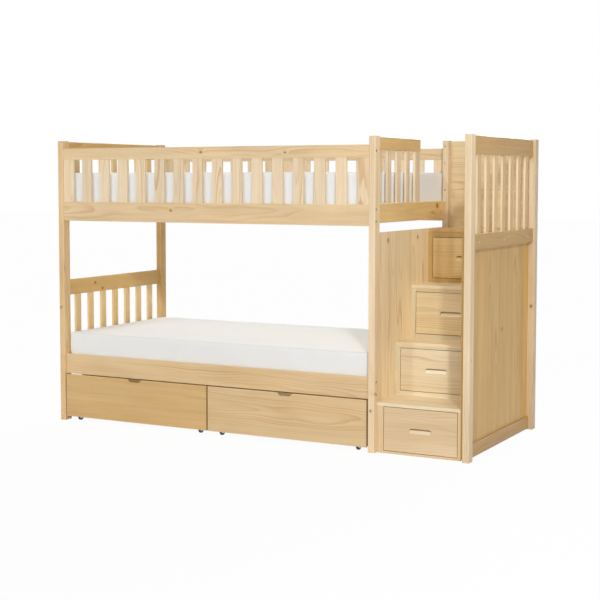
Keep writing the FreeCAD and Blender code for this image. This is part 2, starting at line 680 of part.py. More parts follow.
# ---- drawers under the lower bunk -------------------------------------------
BED_DRAWER_L = (BED_X1 - BED_X0 - 3 * BED_DRAWER_GAP) / 2
BED_DRAWER_Y1 = BED_WIDTH - BED_DRAWER_REAR_GAP
BED_DRAWER_X = {"left": BED_X0 + BED_DRAWER_GAP,
                "right": BED_X0 + 2 * BED_DRAWER_GAP + BED_DRAWER_L}
PLATE_Z = 2 * WHEEL_R + BRACKET_CLEAR
BED_BOTTOM_Z = PLATE_Z + BRACKET_T


def bed_drawer_front(x0):
    """Front board with a blind notch in its top edge to pull it by."""
    z1 = BED_DRAWER_Z + BED_DRAWER_H
    middle = x0 + BED_DRAWER_L / 2
    front = board(x0, x0 + BED_DRAWER_L, 0, BED_FRONT_T, BED_DRAWER_Z, z1)
    lean = (NOTCH_TOP_W - NOTCH_BOTTOM_W) / 2 / NOTCH_H
    half_bottom = NOTCH_BOTTOM_W / 2
    half_top = NOTCH_TOP_W / 2 + lean * OVERCUT
    corners = [Vec(middle - half_bottom, -OVERCUT, z1 - NOTCH_H),
               Vec(middle + half_bottom, -OVERCUT, z1 - NOTCH_H),
               Vec(middle + half_top, -OVERCUT, z1 + OVERCUT),
               Vec(middle - half_top, -OVERCUT, z1 + OVERCUT)]
    notch = Part.Face(Part.makePolygon(corners + corners[:1]))
    return front.cut(notch.extrude(Y_DIR * (OVERCUT + NOTCH_DEPTH)))


def bed_drawer_box(x0):
    z1 = BED_DRAWER_Z + BED_DRAWER_H - BED_SIDE_DROP
    return open_box(x0 + BED_SIDE_INSET, x0 + BED_DRAWER_L - BED_SIDE_INSET,
                    BED_FRONT_T, BED_DRAWER_Y1, BED_DRAWER_Z, z1, BED_SIDE_T,
                    BED_BOTTOM_Z, BED_BOTTOM_T)


def caster_bracket(x, y):
    """A bent plate under the drawer with two cheeks and the axle between them."""
    inner = WHEEL_W / 2 + WHEEL_PLAY
    outer = inner + BRACKET_T
    plate = box(x - outer, x + outer, y - BRACKET_HALF, y + BRACKET_HALF, PLATE_Z, BED_BOTTOM_Z)
    cheeks = [box(x - outer, x - inner, y - BRACKET_HALF, y + BRACKET_HALF,
                  BRACKET_FOOT_Z, PLATE_Z),
              box(x + inner, x + outer, y - BRACKET_HALF, y + BRACKET_HALF,
                  BRACKET_FOOT_Z, PLATE_Z)]
    axle_half = outer + AXLE_PROUD
    axle = rod(AXLE_R, Vec(x - axle_half, y, WHEEL_R), X_DIR, 2 * axle_half)
    return [plate.fuse(cheeks).removeSplitter().cut(axle), axle]


def caster_wheel(x, y):
    tyre = rod(WHEEL_R, Vec(x - WHEEL_W / 2, y, WHEEL_R), X_DIR, WHEEL_W)
    tyre = tyre.makeFillet(WHEEL_ROUND, tyre.Edges)
    bore = AXLE_R + AXLE_RUNNING
    return tyre.cut(rod(bore, Vec(x - WHEEL_W, y, WHEEL_R), X_DIR, 2 * WHEEL_W))


def make_bed_drawers():
    for name, x0 in BED_DRAWER_X.items():
        xs = (x0 + CASTER_X, x0 + BED_DRAWER_L - CASTER_X)
        rows = {"front": CASTER_Y, "rear": BED_DRAWER_Y1 - CASTER_Y}
        brackets = []
        for row, y in rows.items():
            for x in xs:
                brackets += caster_bracket(x, y)
            save("caster_wheels_" + name + "_" + row, [caster_wheel(x, y) for x in xs])
        save("bed_drawer_front_" + name, bed_drawer_front(x0))
        save("bed_drawer_box_" + name, bed_drawer_box(x0))
        save("caster_brackets_" + name, brackets)


# ---- build ------------------------------------------------------------------
make_posts()
make_side_rails()
make_left_ends()
make_stair_end()
make_decks()
save("lower_mattress", mattress(LOWER_DECK_Z, LOWER_MATTRESS_H, LOWER_INSET))
save("upper_mattress", mattress(UPPER_DECK_Z, UPPER_MATTRESS_H, UPPER_INSET))
make_tower_side()
make_stair()
make_stair_drawers()
make_bed_drawers()
make_bolts()
save("rail_dowels", DOWELS)
save("mid_rail_screws", MID_SCREW_SOLIDS)
print("overall", TOTAL_LENGTH, BED_WIDTH, POST_TOP)
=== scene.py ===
import math

import bmesh
import bpy
import numpy as np
from bpy.props import FloatProperty, FloatVectorProperty, IntProperty, PointerProperty
from mathutils import Matrix, Vector


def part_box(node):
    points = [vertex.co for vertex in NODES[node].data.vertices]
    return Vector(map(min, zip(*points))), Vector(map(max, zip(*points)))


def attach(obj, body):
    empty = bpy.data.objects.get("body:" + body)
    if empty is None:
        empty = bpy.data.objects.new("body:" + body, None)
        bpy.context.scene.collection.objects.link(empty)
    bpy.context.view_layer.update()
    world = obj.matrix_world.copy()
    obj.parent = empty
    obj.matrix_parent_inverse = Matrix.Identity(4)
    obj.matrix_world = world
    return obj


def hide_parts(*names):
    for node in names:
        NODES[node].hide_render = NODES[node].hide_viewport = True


bl_info = {
    "name": "Bunk Bed With Storage Stair",
    "version": (1, 0, 0),
    "blender": (4, 5, 0),
    "location": "3D View > Sidebar > Bunk Bed",
    "description": "Finishes the wood and metal of a bunk bed and makes its two mattresses",
    "category": "Object",
}

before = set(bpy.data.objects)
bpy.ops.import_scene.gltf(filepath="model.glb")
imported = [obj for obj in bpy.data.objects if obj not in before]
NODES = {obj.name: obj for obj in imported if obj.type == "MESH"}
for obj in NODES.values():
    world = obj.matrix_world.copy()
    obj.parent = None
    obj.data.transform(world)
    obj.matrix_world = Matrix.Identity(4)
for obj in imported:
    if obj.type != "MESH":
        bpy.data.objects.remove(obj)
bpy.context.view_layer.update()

MM = 0.001
AXES = {"X": 0, "Y": 1, "Z": 2}


def linear(red, green, blue):
    """Scene-linear colour of three screen values from 0 to 255."""
    screen = np.array((red, green, blue)) / 255.0
    low, high = screen / 12.92, ((screen + 0.055) / 1.055) ** 2.4
    return tuple(float(v) for v in np.where(screen <= 0.04045, low, high))


# ---- what a user would change -----------------------------------------------
def a_colour(name, text, *screen):
    """A colour, from three screen values."""
    return FloatVectorProperty(name=name, description=text, subtype="COLOR",
                               min=0.0, max=1.0, default=linear(*screen))


def a_share(name, text, start):
    """A share between 0 and 1."""
    return FloatProperty(name=name, description=text, subtype="FACTOR",
                         min=0.0, max=1.0, default=start)


def a_length(name, text, low, high, start):
    """A length between two limits."""
    return FloatProperty(name=name, description=text, subtype="DISTANCE", unit="LENGTH",
                         min=low, max=high, default=start)


def a_strength(name, text, high, start, unit="NONE"):
    """The strength or power of a light."""
    return FloatProperty(name=name, description=text, unit=unit, min=0.0, max=high,
                         default=start)


def a_place(name, text, *start):
    """A place in the scene."""
    return FloatVectorProperty(name=name, description=text, subtype="TRANSLATION",
                               unit="LENGTH", default=start)


def an_angle(name, text, degrees):
    """An angle, from degrees."""
    return FloatProperty(name=name, description=text, subtype="ANGLE", unit="ROTATION",
                         default=math.radians(degrees))


class BunkBedPine(bpy.types.PropertyGroup):
    early: a_colour("Early wood", "Pale wood between the growth rings", 236, 208, 165)
    heart: a_colour("Warm wood", "Warmer wood that comes and goes along a board",
                    228, 193, 144)
    late: a_colour("Late wood", "Darker lines of the growth rings", 198, 148, 92)
    knot: a_colour("Knot", "Wood inside a knot", 122, 80, 42)
    knot_rim: a_colour("Knot rim", "Bark line around a knot", 98, 62, 30)
    # painted highlight on the ramps of the stair drawers' slots
    slot_highlight: a_colour("Slot highlight", "Wood in the slots of the stair drawers",
                        240, 222, 190)
    # painted highlight on the narrow sides of the slats
    side_highlight: a_colour("Side highlight", "Pale wood on the narrow sides of some slats",
                      246, 230, 206)
    ring_width: a_length("Ring width", "Distance between two growth rings",
                         0.002, 0.02, 0.010)
    ring_strength: a_share("Ring strength", "How far the late wood shows", 0.8)
    roughness: a_share("Lacquer roughness", "Roughness of the satin lacquer", 0.42)
    coat: a_share("Lacquer coat", "Weight of the clear coat over the wood", 0.12)


class BunkBedMattress(bpy.types.PropertyGroup):
    cover: a_colour("Cover", "Colour of the knitted cover", 243, 243, 242)
    thread: a_colour("Thread", "Colour of the welt and its thread", 240, 241, 242)
    crown: a_length("Crown", "Most that the top may rise between its seams",
                    0.0, 0.02, 0.002)
    bulge: a_length("Bulge", "Most that the sides may swell between their seams",
                    0.0, 0.01, 0.002)
    edge: a_length("Edge", "Radius of the edge between top and side", 0.005, 0.05, 0.010)
    corner: a_length("Corner", "Radius of the four upright corners", 0.01, 0.1, 0.016)
    welt: a_length("Welt", "Radius of the welt along the seams", 0.0005, 0.005, 0.001)
    voxel: a_length("Cloth grain", "Size of the cells the cover is simulated with",
                    0.006, 0.03, 0.010)
    pressure: a_strength("Filling", "Pressure of the filling against the cover", 20.0, 4.0)
    steps: IntProperty(name="Cloth steps", description="Frames the cover settles for",
                       min=1, max=60, default=20)


class BunkBedHardware(bpy.types.PropertyGroup):
    zinc: a_colour("Zinc", "Plated steel of nuts, screws and brackets", 214, 214, 212)
    # The bolts in the posts are made darker than the other steel.
    dark_zinc: a_colour("Darker bolt steel", "Plated steel of the bolts in the posts",
                        112, 104, 92)
    beech: a_colour("Beech", "Dowels inside the joints", 214, 178, 138)
    nylon: a_colour("Nylon", "Caster wheels", 38, 37, 36)


class BunkBedStage(bpy.types.PropertyGroup):
    floor: a_colour("Floor", "Colour of the floor", 232, 232, 232)
    glow: a_share("Floor glow", "Share of plain white that the camera sees in the floor",
                  0.96)
    sky: a_strength("Soft light", "Strength of the light from all round", 3.0, 0.18)
    key: a_strength("Key light", "Strength of the light from the right front", 10.0, 1.1)
    second: a_strength("Second light", "Strength of the light from the left front",
                       10.0, 0.5)
    rear: a_strength("Rear light", "Strength of the soft light from behind", 10.0, 2.4)
    top: a_strength("Top light", "Strength of the soft light from above", 10.0, 0.45)
    fill: a_strength("Fill light", "Power of the wide lamp near the stair",
                     500.0, 26.0, "POWER")
    fill_place: a_place("Fill place", "Where the wide lamp hangs", 3.1, -3.6, 1.7)
    entry: a_strength("Entry light", "Power of the lamp over the stair tower",
                      100.0, 5.5, "POWER")
    entry_place: a_place("Entry place", "Where the lamp over the stair tower hangs",
                         1.6, -0.6, 2.4)
    camera_place: a_place("Camera place", "Where the camera stands",
                          3.5670, -6.7159, 1.4260)
    camera_turn: an_angle("Camera turn", "Camera's turn to the left of straight ahead",
                          28.47)
    camera_dip: an_angle("Camera dip", "How far the camera looks down", 3.938)
    lens: FloatProperty(
        name="Lens", description="Focal length on a 36 mm wide picture",
        subtype="DISTANCE_CAMERA", min=10.0, max=300.0, default=78.714)
    shift: FloatVectorProperty(
        name="Lens shift", description="Shift of the picture across and up, in picture widths",
        size=2, default=(0.02905, -0.05023))


# ---- shader expressions -----------------------------------------------------
class Wire:
    """An output socket. Arithmetic on it adds Math nodes to its recipe."""

    def __init__(self, recipe, socket):
        self.recipe, self.socket = recipe, socket

    def math(self, operation, *values):
        return self.recipe.node("ShaderNodeMath", {"operation": operation},
                                dict(enumerate(values)))

    def __add__(self, other):
        return self.math("ADD", self, other)

    __radd__ = __add__

    def __sub__(self, other):
        return self.math("SUBTRACT", self, other)

    def __rsub__(self, other):
        return self.math("SUBTRACT", other, self)

    def __mul__(self, other):
        return self.math("MULTIPLY", self, other)

    __rmul__ = __mul__

    def __gt__(self, other):
        return self.math("GREATER_THAN", self, other)

    def __lt__(self, other):
        return self.math("LESS_THAN", self, other)

    def __abs__(self):
        return self.math("ABSOLUTE", self)

    def floor(self):
        return self.math("FLOOR", self)

    def fract(self):
        return self.math("FRACT", self)

    def root(self):
        return self.math("SQRT", self)

    def exp(self):
        return self.math("EXPONENT", self)

    def sine(self):
        return self.math("SINE", self)

    def least(self, other):
        return self.math("MINIMUM", self, other)

    def most(self, other):
        return self.math("MAXIMUM", self, other)

    def ease(self, start, end):
        """0 at start and 1 at end, smooth between them."""
        sockets = {"Value": self, "From Min": start, "From Max": end}
        return self.recipe.node("ShaderNodeMapRange", {"interpolation_type": "SMOOTHSTEP"},
                                sockets)


class Recipe:
    """The node tree of a new material or world under construction."""

    def __init__(self, name, family="materials"):
        self.owner = getattr(bpy.data, family).new(name)
        self.owner.use_nodes = True
        self.tree = self.owner.node_tree
        self.tree.nodes.clear()

    def node(self, kind, settings=None, sockets=None, output=0):
        """Add a node: its settings first, then the value or link of each socket."""
        made = self.tree.nodes.new(kind)
        for key, value in (settings or {}).items():
            if key == "stops":
                self.set_stops(made.color_ramp, value)
            else:
                setattr(made, key, value)
        for key, value in (sockets or {}).items():
            self.feed(self.socket(made.inputs, key), value)
        return Wire(self, self.socket(made.outputs, output)) if made.outputs else None

    def socket(self, sockets, key):
        if isinstance(key, int):
            return sockets[key]
        for socket in sockets:
            if socket.identifier == key:
                return socket
        return sockets[key]

    def feed(self, socket, value):
        if isinstance(value, Wire):
            self.tree.links.new(value.socket, socket)
        elif isinstance(value, (tuple, list)) and len(value) == 3 and socket.type == "RGBA":
            socket.default_value = (*value, 1.0)
        else:
            socket.default_value = value

    def set_stops(self, ramp, stops):
        while len(ramp.elements) > 1:
            ramp.elements.remove(ramp.elements[-1])
        for index, (place, value) in enumerate(stops):
            stop = ramp.elements[0] if index == 0 else ramp.elements.new(place)
            stop.position = place
            stop.color = (value, value, value, 1.0)

    def blend(self, factor, first, second):
        """Mix two colours."""
        sockets = {"Factor_Float": factor, "A_Color": first, "B_Color": second}
        return self.node("ShaderNodeMix", {"data_type": "RGBA"}, sockets, "Result_Color")

    def vector(self, operation, *values, output=0, scale=1.0):
        sockets = {**dict(enumerate(values)), "Scale": scale}
        return self.node("ShaderNodeVectorMath", {"operation": operation}, sockets, output)

    def camera_sees(self):
        """1 for rays from the camera, and for those that reach it by mirror or glass."""
        seen = [self.node("ShaderNodeLightPath", None, None, "Is %s Ray" % kind)
                for kind in ("Camera", "Glossy", "Transmission")]
        return seen[0].most(seen[1]).most(seen[2])

    def join(self, x, y, z):
        return self.node("ShaderNodeCombineXYZ", None, {"X": x, "Y": y, "Z": z})

    def split(self, vector):
        made = self.node("ShaderNodeSeparateXYZ", None, {"Vector": vector})
        return [Wire(self, socket) for socket in made.socket.node.outputs]

    def here(self, kind="Object"):
        """The shaded point in the object's own axes, or its normal."""
        return self.node("ShaderNodeTexCoord", None, None, kind)

    def noise(self, vector, scale, detail=2.0, roughness=0.5):
        """Smooth noise, with one scale for all three axes or one for each."""
        scale = scale if isinstance(scale, tuple) else (scale,) * 3
        sockets = {"Vector": self.vector("MULTIPLY", vector, scale), "Scale": 1.0,
                   "Detail": detail, "Roughness": roughness}
        return self.node("ShaderNodeTexNoise", {"noise_dimensions": "3D"}, sockets)

    def random(self, vector, output="Value"):
        return self.node("ShaderNodeTexWhiteNoise", {"noise_dimensions": "3D"},
                         {"Vector": vector}, output)

    def bump(self, height, distance, strength=0.5):
        sockets = {"Height": height, "Distance": distance, "Strength": strength}
        return self.node("ShaderNodeBump", None, sockets)

    def finish(self, colour, rough, bump, others=None):
        """Close the recipe with one Principled shader."""
        sockets = {"Base Color": colour, "Roughness": rough, "Normal": bump,
                   **(others or {})}
        shader = self.node("ShaderNodeBsdfPrincipled", None, sockets)
        self.node("ShaderNodeOutputMaterial", None, {"Surface": shader})
        return self.owner


# ---- pine -------------------------------------------------------------------
# how dark a growth ring is from its inner edge, 0, to its outer edge, 1
RING_STOPS = ((0.0, 0.12), (0.12, 0.0), (0.5, 0.12), (0.84, 0.8), (0.94, 1.0), (1.0, 0.12))


def rows(first, last, count, width, axis):
    """Axis, start and pitch of boards between the outer edges of the first and last."""
    pitch = (last - first - width) / (count - 1)
    return axis, first - (pitch - width) / 2, pitch


def third_axis(run, wide):
    """The axis through the thickness of a board."""
    return ({"X", "Y", "Z"} - {run, wide}).pop()


def local_place(here, run, wide, centre):
    """Place along the grain, across the board's face and through its thickness."""
    return [here[AXES[axis]] - centre[AXES[axis]]
            for axis in (run, wide, third_axis(run, wide))]


def knot_axis(place, low, high, run):
    """Axis that a knot runs along: across the nearest face that follows the grain."""
    gaps = {axis: min(abs(place[axis] - low[axis]), abs(place[axis] - high[axis]))
            for axis in range(3) if axis != AXES[run]}
    return min(gaps, key=gaps.get)


def glued_boards(place, low, high, joints, tone):
    """Number, middle and shade of the board at a place, and the way to its nearest joint.

    Joints hold where each board starts and how much lighter it is. Past each start, the
    step to the next board is added.
    """
    starts = [low] + [start for start, _ in joints[1:]] + [high]
    middles = [(a + b) / 2 for a, b in zip(starts, starts[1:])]
    index, middle, shade, seam = 0.0, middles[0], tone + joints[0][1], None
    for number in range(1, len(joints)):
        start, lighter = joints[number]
        beyond = place > start
        index = beyond + index
        middle = beyond * (middles[number] - middles[number - 1]) + middle
        shade = beyond * (lighter - joints[number - 1][1]) + shade
        gap = abs(place - start)
        seam = gap if seam is None else seam.least(gap)
    return index, middle, shade, seam


def nearest_knot(recipe, here_vector, low, high, run, knots):
    """Distance to the nearest knot over its radius, on an uneven outline.

    A knot is drawn out along the grain and runs deep into the board.
    """
    nearest = None
    for x, y, z, radius in knots:
        reach = [1.0 / radius] * 3
        reach[AXES[run]] *= 0.75
        reach[knot_axis((x, y, z), low, high, run)] *= 0.2
        away = recipe.vector("SUBTRACT", here_vector, (x, y, z))
        away = recipe.vector("MULTIPLY", away, tuple(reach))
        length = recipe.vector("LENGTH", away, output="Value")
        nearest = length if nearest is None else nearest.least(length)
    return nearest + (recipe.noise(here_vector, 90.0, 1.0) - 0.5) * 0.7


def add_knots(recipe, colour, look, nearest):
    """Dark rings inside each knot, a bark line round it and a halo in the wood."""
    inside = 1.0 - nearest.ease(0.82, 1.0)
    rim = (1.0 - abs(nearest - 1.0).ease(0.0, 0.3)) * 0.75
    knot_rings = (nearest * 3.2).fract() * 0.35 + 0.65
    halo = 1.0 - nearest.ease(1.0, 3.2)
    colour = recipe.blend(inside * knot_rings, colour, tuple(look.knot))
    colour = recipe.blend(rim, colour, tuple(look.knot_rim))
    return recipe.blend(halo * 0.28, colour, tuple(look.late))


def add_grip(recipe, here, colour, level, look, grip):
    """The slot of a drawer front, with painted light and shade: a painted highlight on the ramp
    of a stair drawer's slot, painted shade on the ramp of a bed drawer's notch, and painted
    shade on the back wall of both.
    """
    (x, y, z), half_x, half_z, depth, highlighted_ramp = grip
    inside = (abs(here[0] - x) < half_x) * (abs(here[2] - z) < half_z)
    deep = here[1] - y
    # back: painted shade on the back wall of the slot
    back = deep.ease(0.9 * depth, 0.97 * depth) * (deep < 1.1 * depth)
    cut = deep.ease(0.03 * depth, 0.1 * depth) * (deep < 0.93 * depth)
    # a pale painted highlight on the ramp of the stair drawers' slots
    if highlighted_ramp:
        colour = recipe.blend(inside * cut * 0.6, colour, tuple(look.slot_highlight))
    # the ramp lighter as painted highlight, or darker as painted shade in the notches; the back
    # wall darker as painted shade
    return colour, level + inside * (cut * (0.14 if highlighted_ramp else -0.26) - back * 0.46)


def pine(name, look, low, high, run, wide, repeats=(), joints=(), turned=(), knots=(),
         section=None, grip=None, edges=0.0, tone=0.0, warmth=0.0, green=0.0, seed=0):
    """Lacquered pine, cut from a log beside each board.

    The ring number is the distance from the log's pith, with a slow wobble along the
    grain and a swerve round each knot, over the ring width. Repeats, each an axis, a
    start and a pitch, and joints part the piece into boards, and each board gets a log,
    a tone and a length of its own. Turned boxes hold boards whose grain runs another
    way, with their two directions. Section is the width and the thickness of a
    board, whose edges get a painted highlight, with some wear. A grip is the place, half
    width, half height and depth of a slot cut into the front, and whether its ramp gets a
    painted highlight, else painted shade; its back wall gets painted shade. Edges is how
    much painted highlight the narrow sides get. Tone lightens the whole piece, warmth
    takes blue and a little green out of it, and green adds to the green: all three are
    painted light and shade.
    """
    recipe = Recipe(name)
    here_vector = recipe.here()
    here = recipe.split(here_vector)
    centre = [(a + b) / 2 for a, b in zip(low, high)]
    along, across, through = local_place(here, run, wide, centre)

    board_ids, seam, shade = [], None, tone
    for axis, start, pitch in repeats:
        index = ((here[AXES[axis]] - start) * (1.0 / pitch)).floor()
        board_ids.append(index)
        if axis == wide:
            across = here[AXES[axis]] - start - (index + 0.5) * pitch
    if joints:
        side = AXES[wide]
        index, middle, shade, seam = glued_boards(here[side], low[side], high[side],
                                                  joints, tone)
        across = here[side] - middle
        board_ids.append(index)
    for box, other_run, other_wide in turned:
        inside = 1.0
        for axis, start, end in box:
            inside = (here[AXES[axis]] > start) * (here[AXES[axis]] < end) * inside
        others = local_place(here, other_run, other_wide, centre)
        along, across, through = [was + (now - was) * inside for was, now
                                  in zip((along, across, through), others)]
        board_ids.append(inside)

    board_ids = (board_ids + [0.0, 0.0])[:2]
    tints = recipe.split(recipe.random(recipe.join(*board_ids, float(seed)), "Color"))
    log_across = across + (tints[0] - 0.5) * 0.12
    log_through = through + 0.045 + tints[1] * 0.05
    spot = recipe.join(along + tints[2] * 9.0, across + tints[0] * 3.0,
                       through + tints[1] * 3.0)
    nearest = nearest_knot(recipe, here_vector, low, high, run, knots) if knots else None

    wobble = recipe.noise(spot, (1.1, 5.0, 5.0)) - 0.5
    ripple = recipe.noise(spot, (4.0, 60.0, 60.0)) - 0.5
    pith = (log_across * log_across + log_through * log_through).root()
    rings = pith + wobble * 0.09 + ripple * 0.0045 + along * 0.012
    if knots:
        rings = rings + (nearest * nearest * -0.16).exp() * 0.022
    rings = rings * (1.0 / look.ring_width)
    ring_shade = recipe.random(recipe.join(rings.floor(), *board_ids))
    late = recipe.node("ShaderNodeValToRGB", {"stops": RING_STOPS}, {"Fac": rings.fract()})
    plain = recipe.noise(spot, (0.9, 7.0, 7.0), 1.0)
    late = late * (ring_shade * ring_shade * 0.8 + 0.2) * (plain.ease(0.38, 0.62) * 0.85 + 0.15)

    streak = recipe.noise(spot, (1.4, 34.0, 34.0), 3.0, 0.6)
    fibre = recipe.noise(spot, (14.0, 900.0, 900.0), 2.0, 0.6)
    cloud = recipe.noise(spot, (2.5, 9.0, 9.0), 1.0)
    colour = recipe.blend(streak.ease(0.34, 0.72) * 0.75, tuple(look.early),
                          tuple(look.heart))
    colour = recipe.blend(late * look.ring_strength, colour, tuple(look.late))
    level = (tints[2] - 0.5) * 0.08 + (cloud - 0.5) * 0.2 + (fibre - 0.5) * 0.07 + 1.0
    # shade holds the piece's tone, which is painted light and shade, with each glued board's
    # own lighter tone
    level = level + shade
    height = late * 0.5 + fibre * 0.5
    if section:
        # painted highlight along the rounded edges, with some wear: paler and lighter near each
        # edge
        wear_and_edge_highlight = 1.0
        for offset, size in zip((across, through), section):
            wear_and_edge_highlight = abs(offset).ease(size / 2 - 4.5 * MM, size / 2 - 0.5 * MM) * wear_and_edge_highlight
        colour = recipe.blend(wear_and_edge_highlight * 0.35, colour, tuple(look.early))
        level = level + wear_and_edge_highlight * 0.05
    if grip:
        colour, level = add_grip(recipe, here, colour, level, look, grip)
    if joints:
        line = 1.0 - seam.ease(0.2 * MM, 0.9 * MM)
        level = level - line * 0.22
        height = height - line
    if knots:
        colour = add_knots(recipe, colour, look, nearest)

    facing = recipe.split(recipe.here("Normal"))
    end_grain = abs(facing[AXES[run]]).ease(0.7, 0.95)
    if turned:
        end_grain = end_grain * 0.4
    level = level - end_grain * 0.11
    # warmth and green: colour painted onto the piece as light and shade
    cast = (1.0, 1.0 - 0.3 * warmth + green, 1.0 - warmth)
    colour = recipe.vector("MULTIPLY", colour, cast)
    # painted highlight on the narrow sides that face along the board's width
    if edges:
        sides = abs(facing[AXES[wide]]).ease(0.7, 0.95)
        colour = recipe.blend(sides * edges, colour, tuple(look.side_highlight))
    colour = recipe.vector("SCALE", colour, scale=level)
    rough = look.roughness + (fibre - 0.5) * 0.16 + end_grain * 0.15 - late * 0.05
    return recipe.finish(colour, rough, recipe.bump(height, 0.22 * MM, 0.55),
                         {"Coat Weight": look.coat, "Coat Roughness": 0.28, "IOR": 1.48,
                          "Specular IOR Level": 0.15})


def dress(node, material):
    """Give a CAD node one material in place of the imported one."""
    for slot in NODES[node].material_slots:
        slot.material = material


# How far the boards of a piece are lighter, warmer and, where it shows, greener than the rest:
# painted light and shade, darker and warmer where a piece lies in shade, lighter where more
# light falls.
PAINTED_LIGHT_AND_SHADE_TINTS = {
    "bed_post_front_left": (-0.01, 0.1), "bed_post_front_right": (0.04, -0.2),
    "bed_post_back_left": (-0.06, 0.35), "bed_post_back_right": (-0.1, -0.23),
    "tower_post_front": (-0.02, -0.17), "tower_post_back": (-0.13, -0.14),
    "guard_top_rail_front": (-0.02, -0.06), "guard_top_rail_back": (-0.12, -0.08),
    "guard_slats_front": (0.04, -0.27), "guard_slats_back": (-0.04, -0.23),
    "upper_side_rail_front": (-0.07, -0.02), "lower_side_rail_front": (-0.04, 0.04),
    "left_end_rails": (-0.1, 0.42), "left_end_slats": (0.08, 0.11, 0.025),
    "stair_end_rail": (0.03, 0.24, 0.04), "stair_guard_rail": (-0.16, 0.41, -0.02),
    "stair_guard_slats": (-0.06, -0.27), "stair_inner_panel": (0.14, -0.28, 0.045),
    "tower_side_panel": (-0.21, 0.5), "tower_back_panel": (-0.06, -0.07, 0.03),
    "tower_top_rail": (-0.31, 0.5, -0.04), "tower_mid_rail": (-0.3, 0.5, -0.03),
    "tower_foot_rail": (-0.28, 0.5, -0.03), "tower_slats": (-0.12, 0.23, -0.01),
    "riser_frame_1": (-0.11, -0.07), "riser_frame_2": (-0.03, -0.49, 0.045),
    "riser_frame_3": (-0.08, -0.4, 0.055), "riser_frame_4": (-0.2, 0.36, 0.03),
    "stair_treads": (0.07, -0.32, 0.035), "stair_landing": (-0.15, 0.27),
    "stair_drawer_front_1": (-0.07, -0.11), "stair_drawer_front_2": (-0.05, -0.37, 0.04),
    "stair_drawer_front_3": (0.03, -0.21, 0.055),
    "stair_drawer_front_4": (-0.01, 0.15, 0.05), "bed_drawer_front_left": (-0.17, 0.29),
    "bed_drawer_front_right": (-0.12, 0.05),
}

# Each knot that stands out: its place and its radius, in metres.
KNOTS = {
    "bed_post_front_left": [(-1.272, -0.5425, 0.672, 0.005)],
    "bed_post_front_right": [(0.752, -0.533, 0.312, 0.005),
                             (0.74, -0.5425, 0.2215, 0.0045)],
    "bed_post_back_left": [(-1.268, 0.5425, 1.05, 0.008)],
    "bed_post_back_right": [(0.742, 0.5425, 0.58, 0.009)],
    "tower_post_front": [(1.2835, -0.512, 0.52, 0.003)],
    "tower_post_back": [(1.2687, 0.4845, 0.708, 0.006)],
    "guard_top_rail_front": [(-0.2987, -0.5375, 1.5769, 0.0055),
                             (0.2311, -0.5375, 1.5704, 0.004)],
    "guard_top_rail_back": [(0.42, 0.5375, 1.58, 0.008)],
    "upper_side_rail_front": [(-0.4981, -0.5375, 1.2524, 0.0055)],
    "upper_side_rail_back": [(0.12, 0.5375, 1.23, 0.01), (-0.83, 0.5375, 1.26, 0.007)],
    "lower_side_rail_back": [(0.33, 0.52, 0.34, 0.009)],
    "left_end_rails": [(-1.2555, -0.2165, 0.7973, 0.006),
                       (-1.2555, -0.1411, 0.758, 0.006)],
    "stair_end_rail": [(0.7455, 0.3553, 1.2765, 0.0115)],
    "stair_inner_panel": [(0.7455, -0.3387, 1.1032, 0.008), (0.7455, 0.0676, 1.1055, 0.007)],
    "tower_side_panel": [(1.2475, 0.05, 0.62, 0.006)],
    "tower_back_panel": [(1.05, 0.5425, 1.02, 0.009), (0.86, 0.5425, 0.41, 0.007)],
}


def dress_pine(context, node, run, wide, **words):
    """Give a CAD node its own pine, with its tint of painted light and shade and its knots."""
    low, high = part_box(node)
    words.update(zip(("tone", "warmth", "green"), PAINTED_LIGHT_AND_SHADE_TINTS.get(node, ())))
    if not {"repeats", "joints", "turned"} & set(words):
        sizes = high - low
        words["section"] = [sizes[AXES[axis]] for axis in (wide, third_axis(run, wide))]
    seed = sum(map(ord, node)) % 97
    dress(node, pine("pine_" + node, context.scene.bunk_bed_pine, low, high, run, wide,
                     knots=KNOTS.get(node, ()), seed=seed, **words))


# ---- wood operators ---------------------------------------------------------
class BunkBedStep(bpy.types.Operator):
    """Shared settings of the steps below"""

    bl_options = {"REGISTER", "UNDO"}


class BUNKBED_OT_posts(BunkBedStep):
    """Finish the six corner posts, with the grain running up"""

    bl_idname = "bunkbed.posts"
    bl_label = "Posts"

    def execute(self, context):
        for node in NODES:
            if "_post_" in node:
                dress_pine(context, node, "Z", "Y")
        return {"FINISHED"}


class BUNKBED_OT_side_rails(BunkBedStep):
    """Finish the long side rails and the guards' top rails"""

    bl_idname = "bunkbed.side_rails"
    bl_label = "Side Rails"

    def execute(self, context):
        for rail in ("guard_top_rail", "upper_side_rail", "lower_side_rail"):
            for side in ("front", "back"):
                dress_pine(context, rail + "_" + side, "X", "Z")
        return {"FINISHED"}


def between_stiles(low, high, stile, count, width, axis):
    """Axis, start and pitch of slats with even gaps between two stiles."""
    gap = (high - low - 2 * stile - count * width) / (count + 1)
    return rows(low + stile + gap, high - stile - gap, count, width, axis)


class BUNKBED_OT_guard_slats(BunkBedStep):
    """Finish the slats and stiles of both guards, each board from its own log"""

    bl_idname = "bunkbed.guard_slats"
    bl_label = "Guard Slats"

    def execute(self, context):
        stile, count, width = 70.0 * MM, 14, 63.0 * MM
        for node in ("guard_slats_front", "guard_slats_back"):
            low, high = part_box(node)
            slats = between_stiles(low.x, high.x, stile, count, width, "X")
            dress_pine(context, node, "Z", "X", repeats=(slats,),
                       section=(width, high.y - low.y))
        return {"FINISHED"}


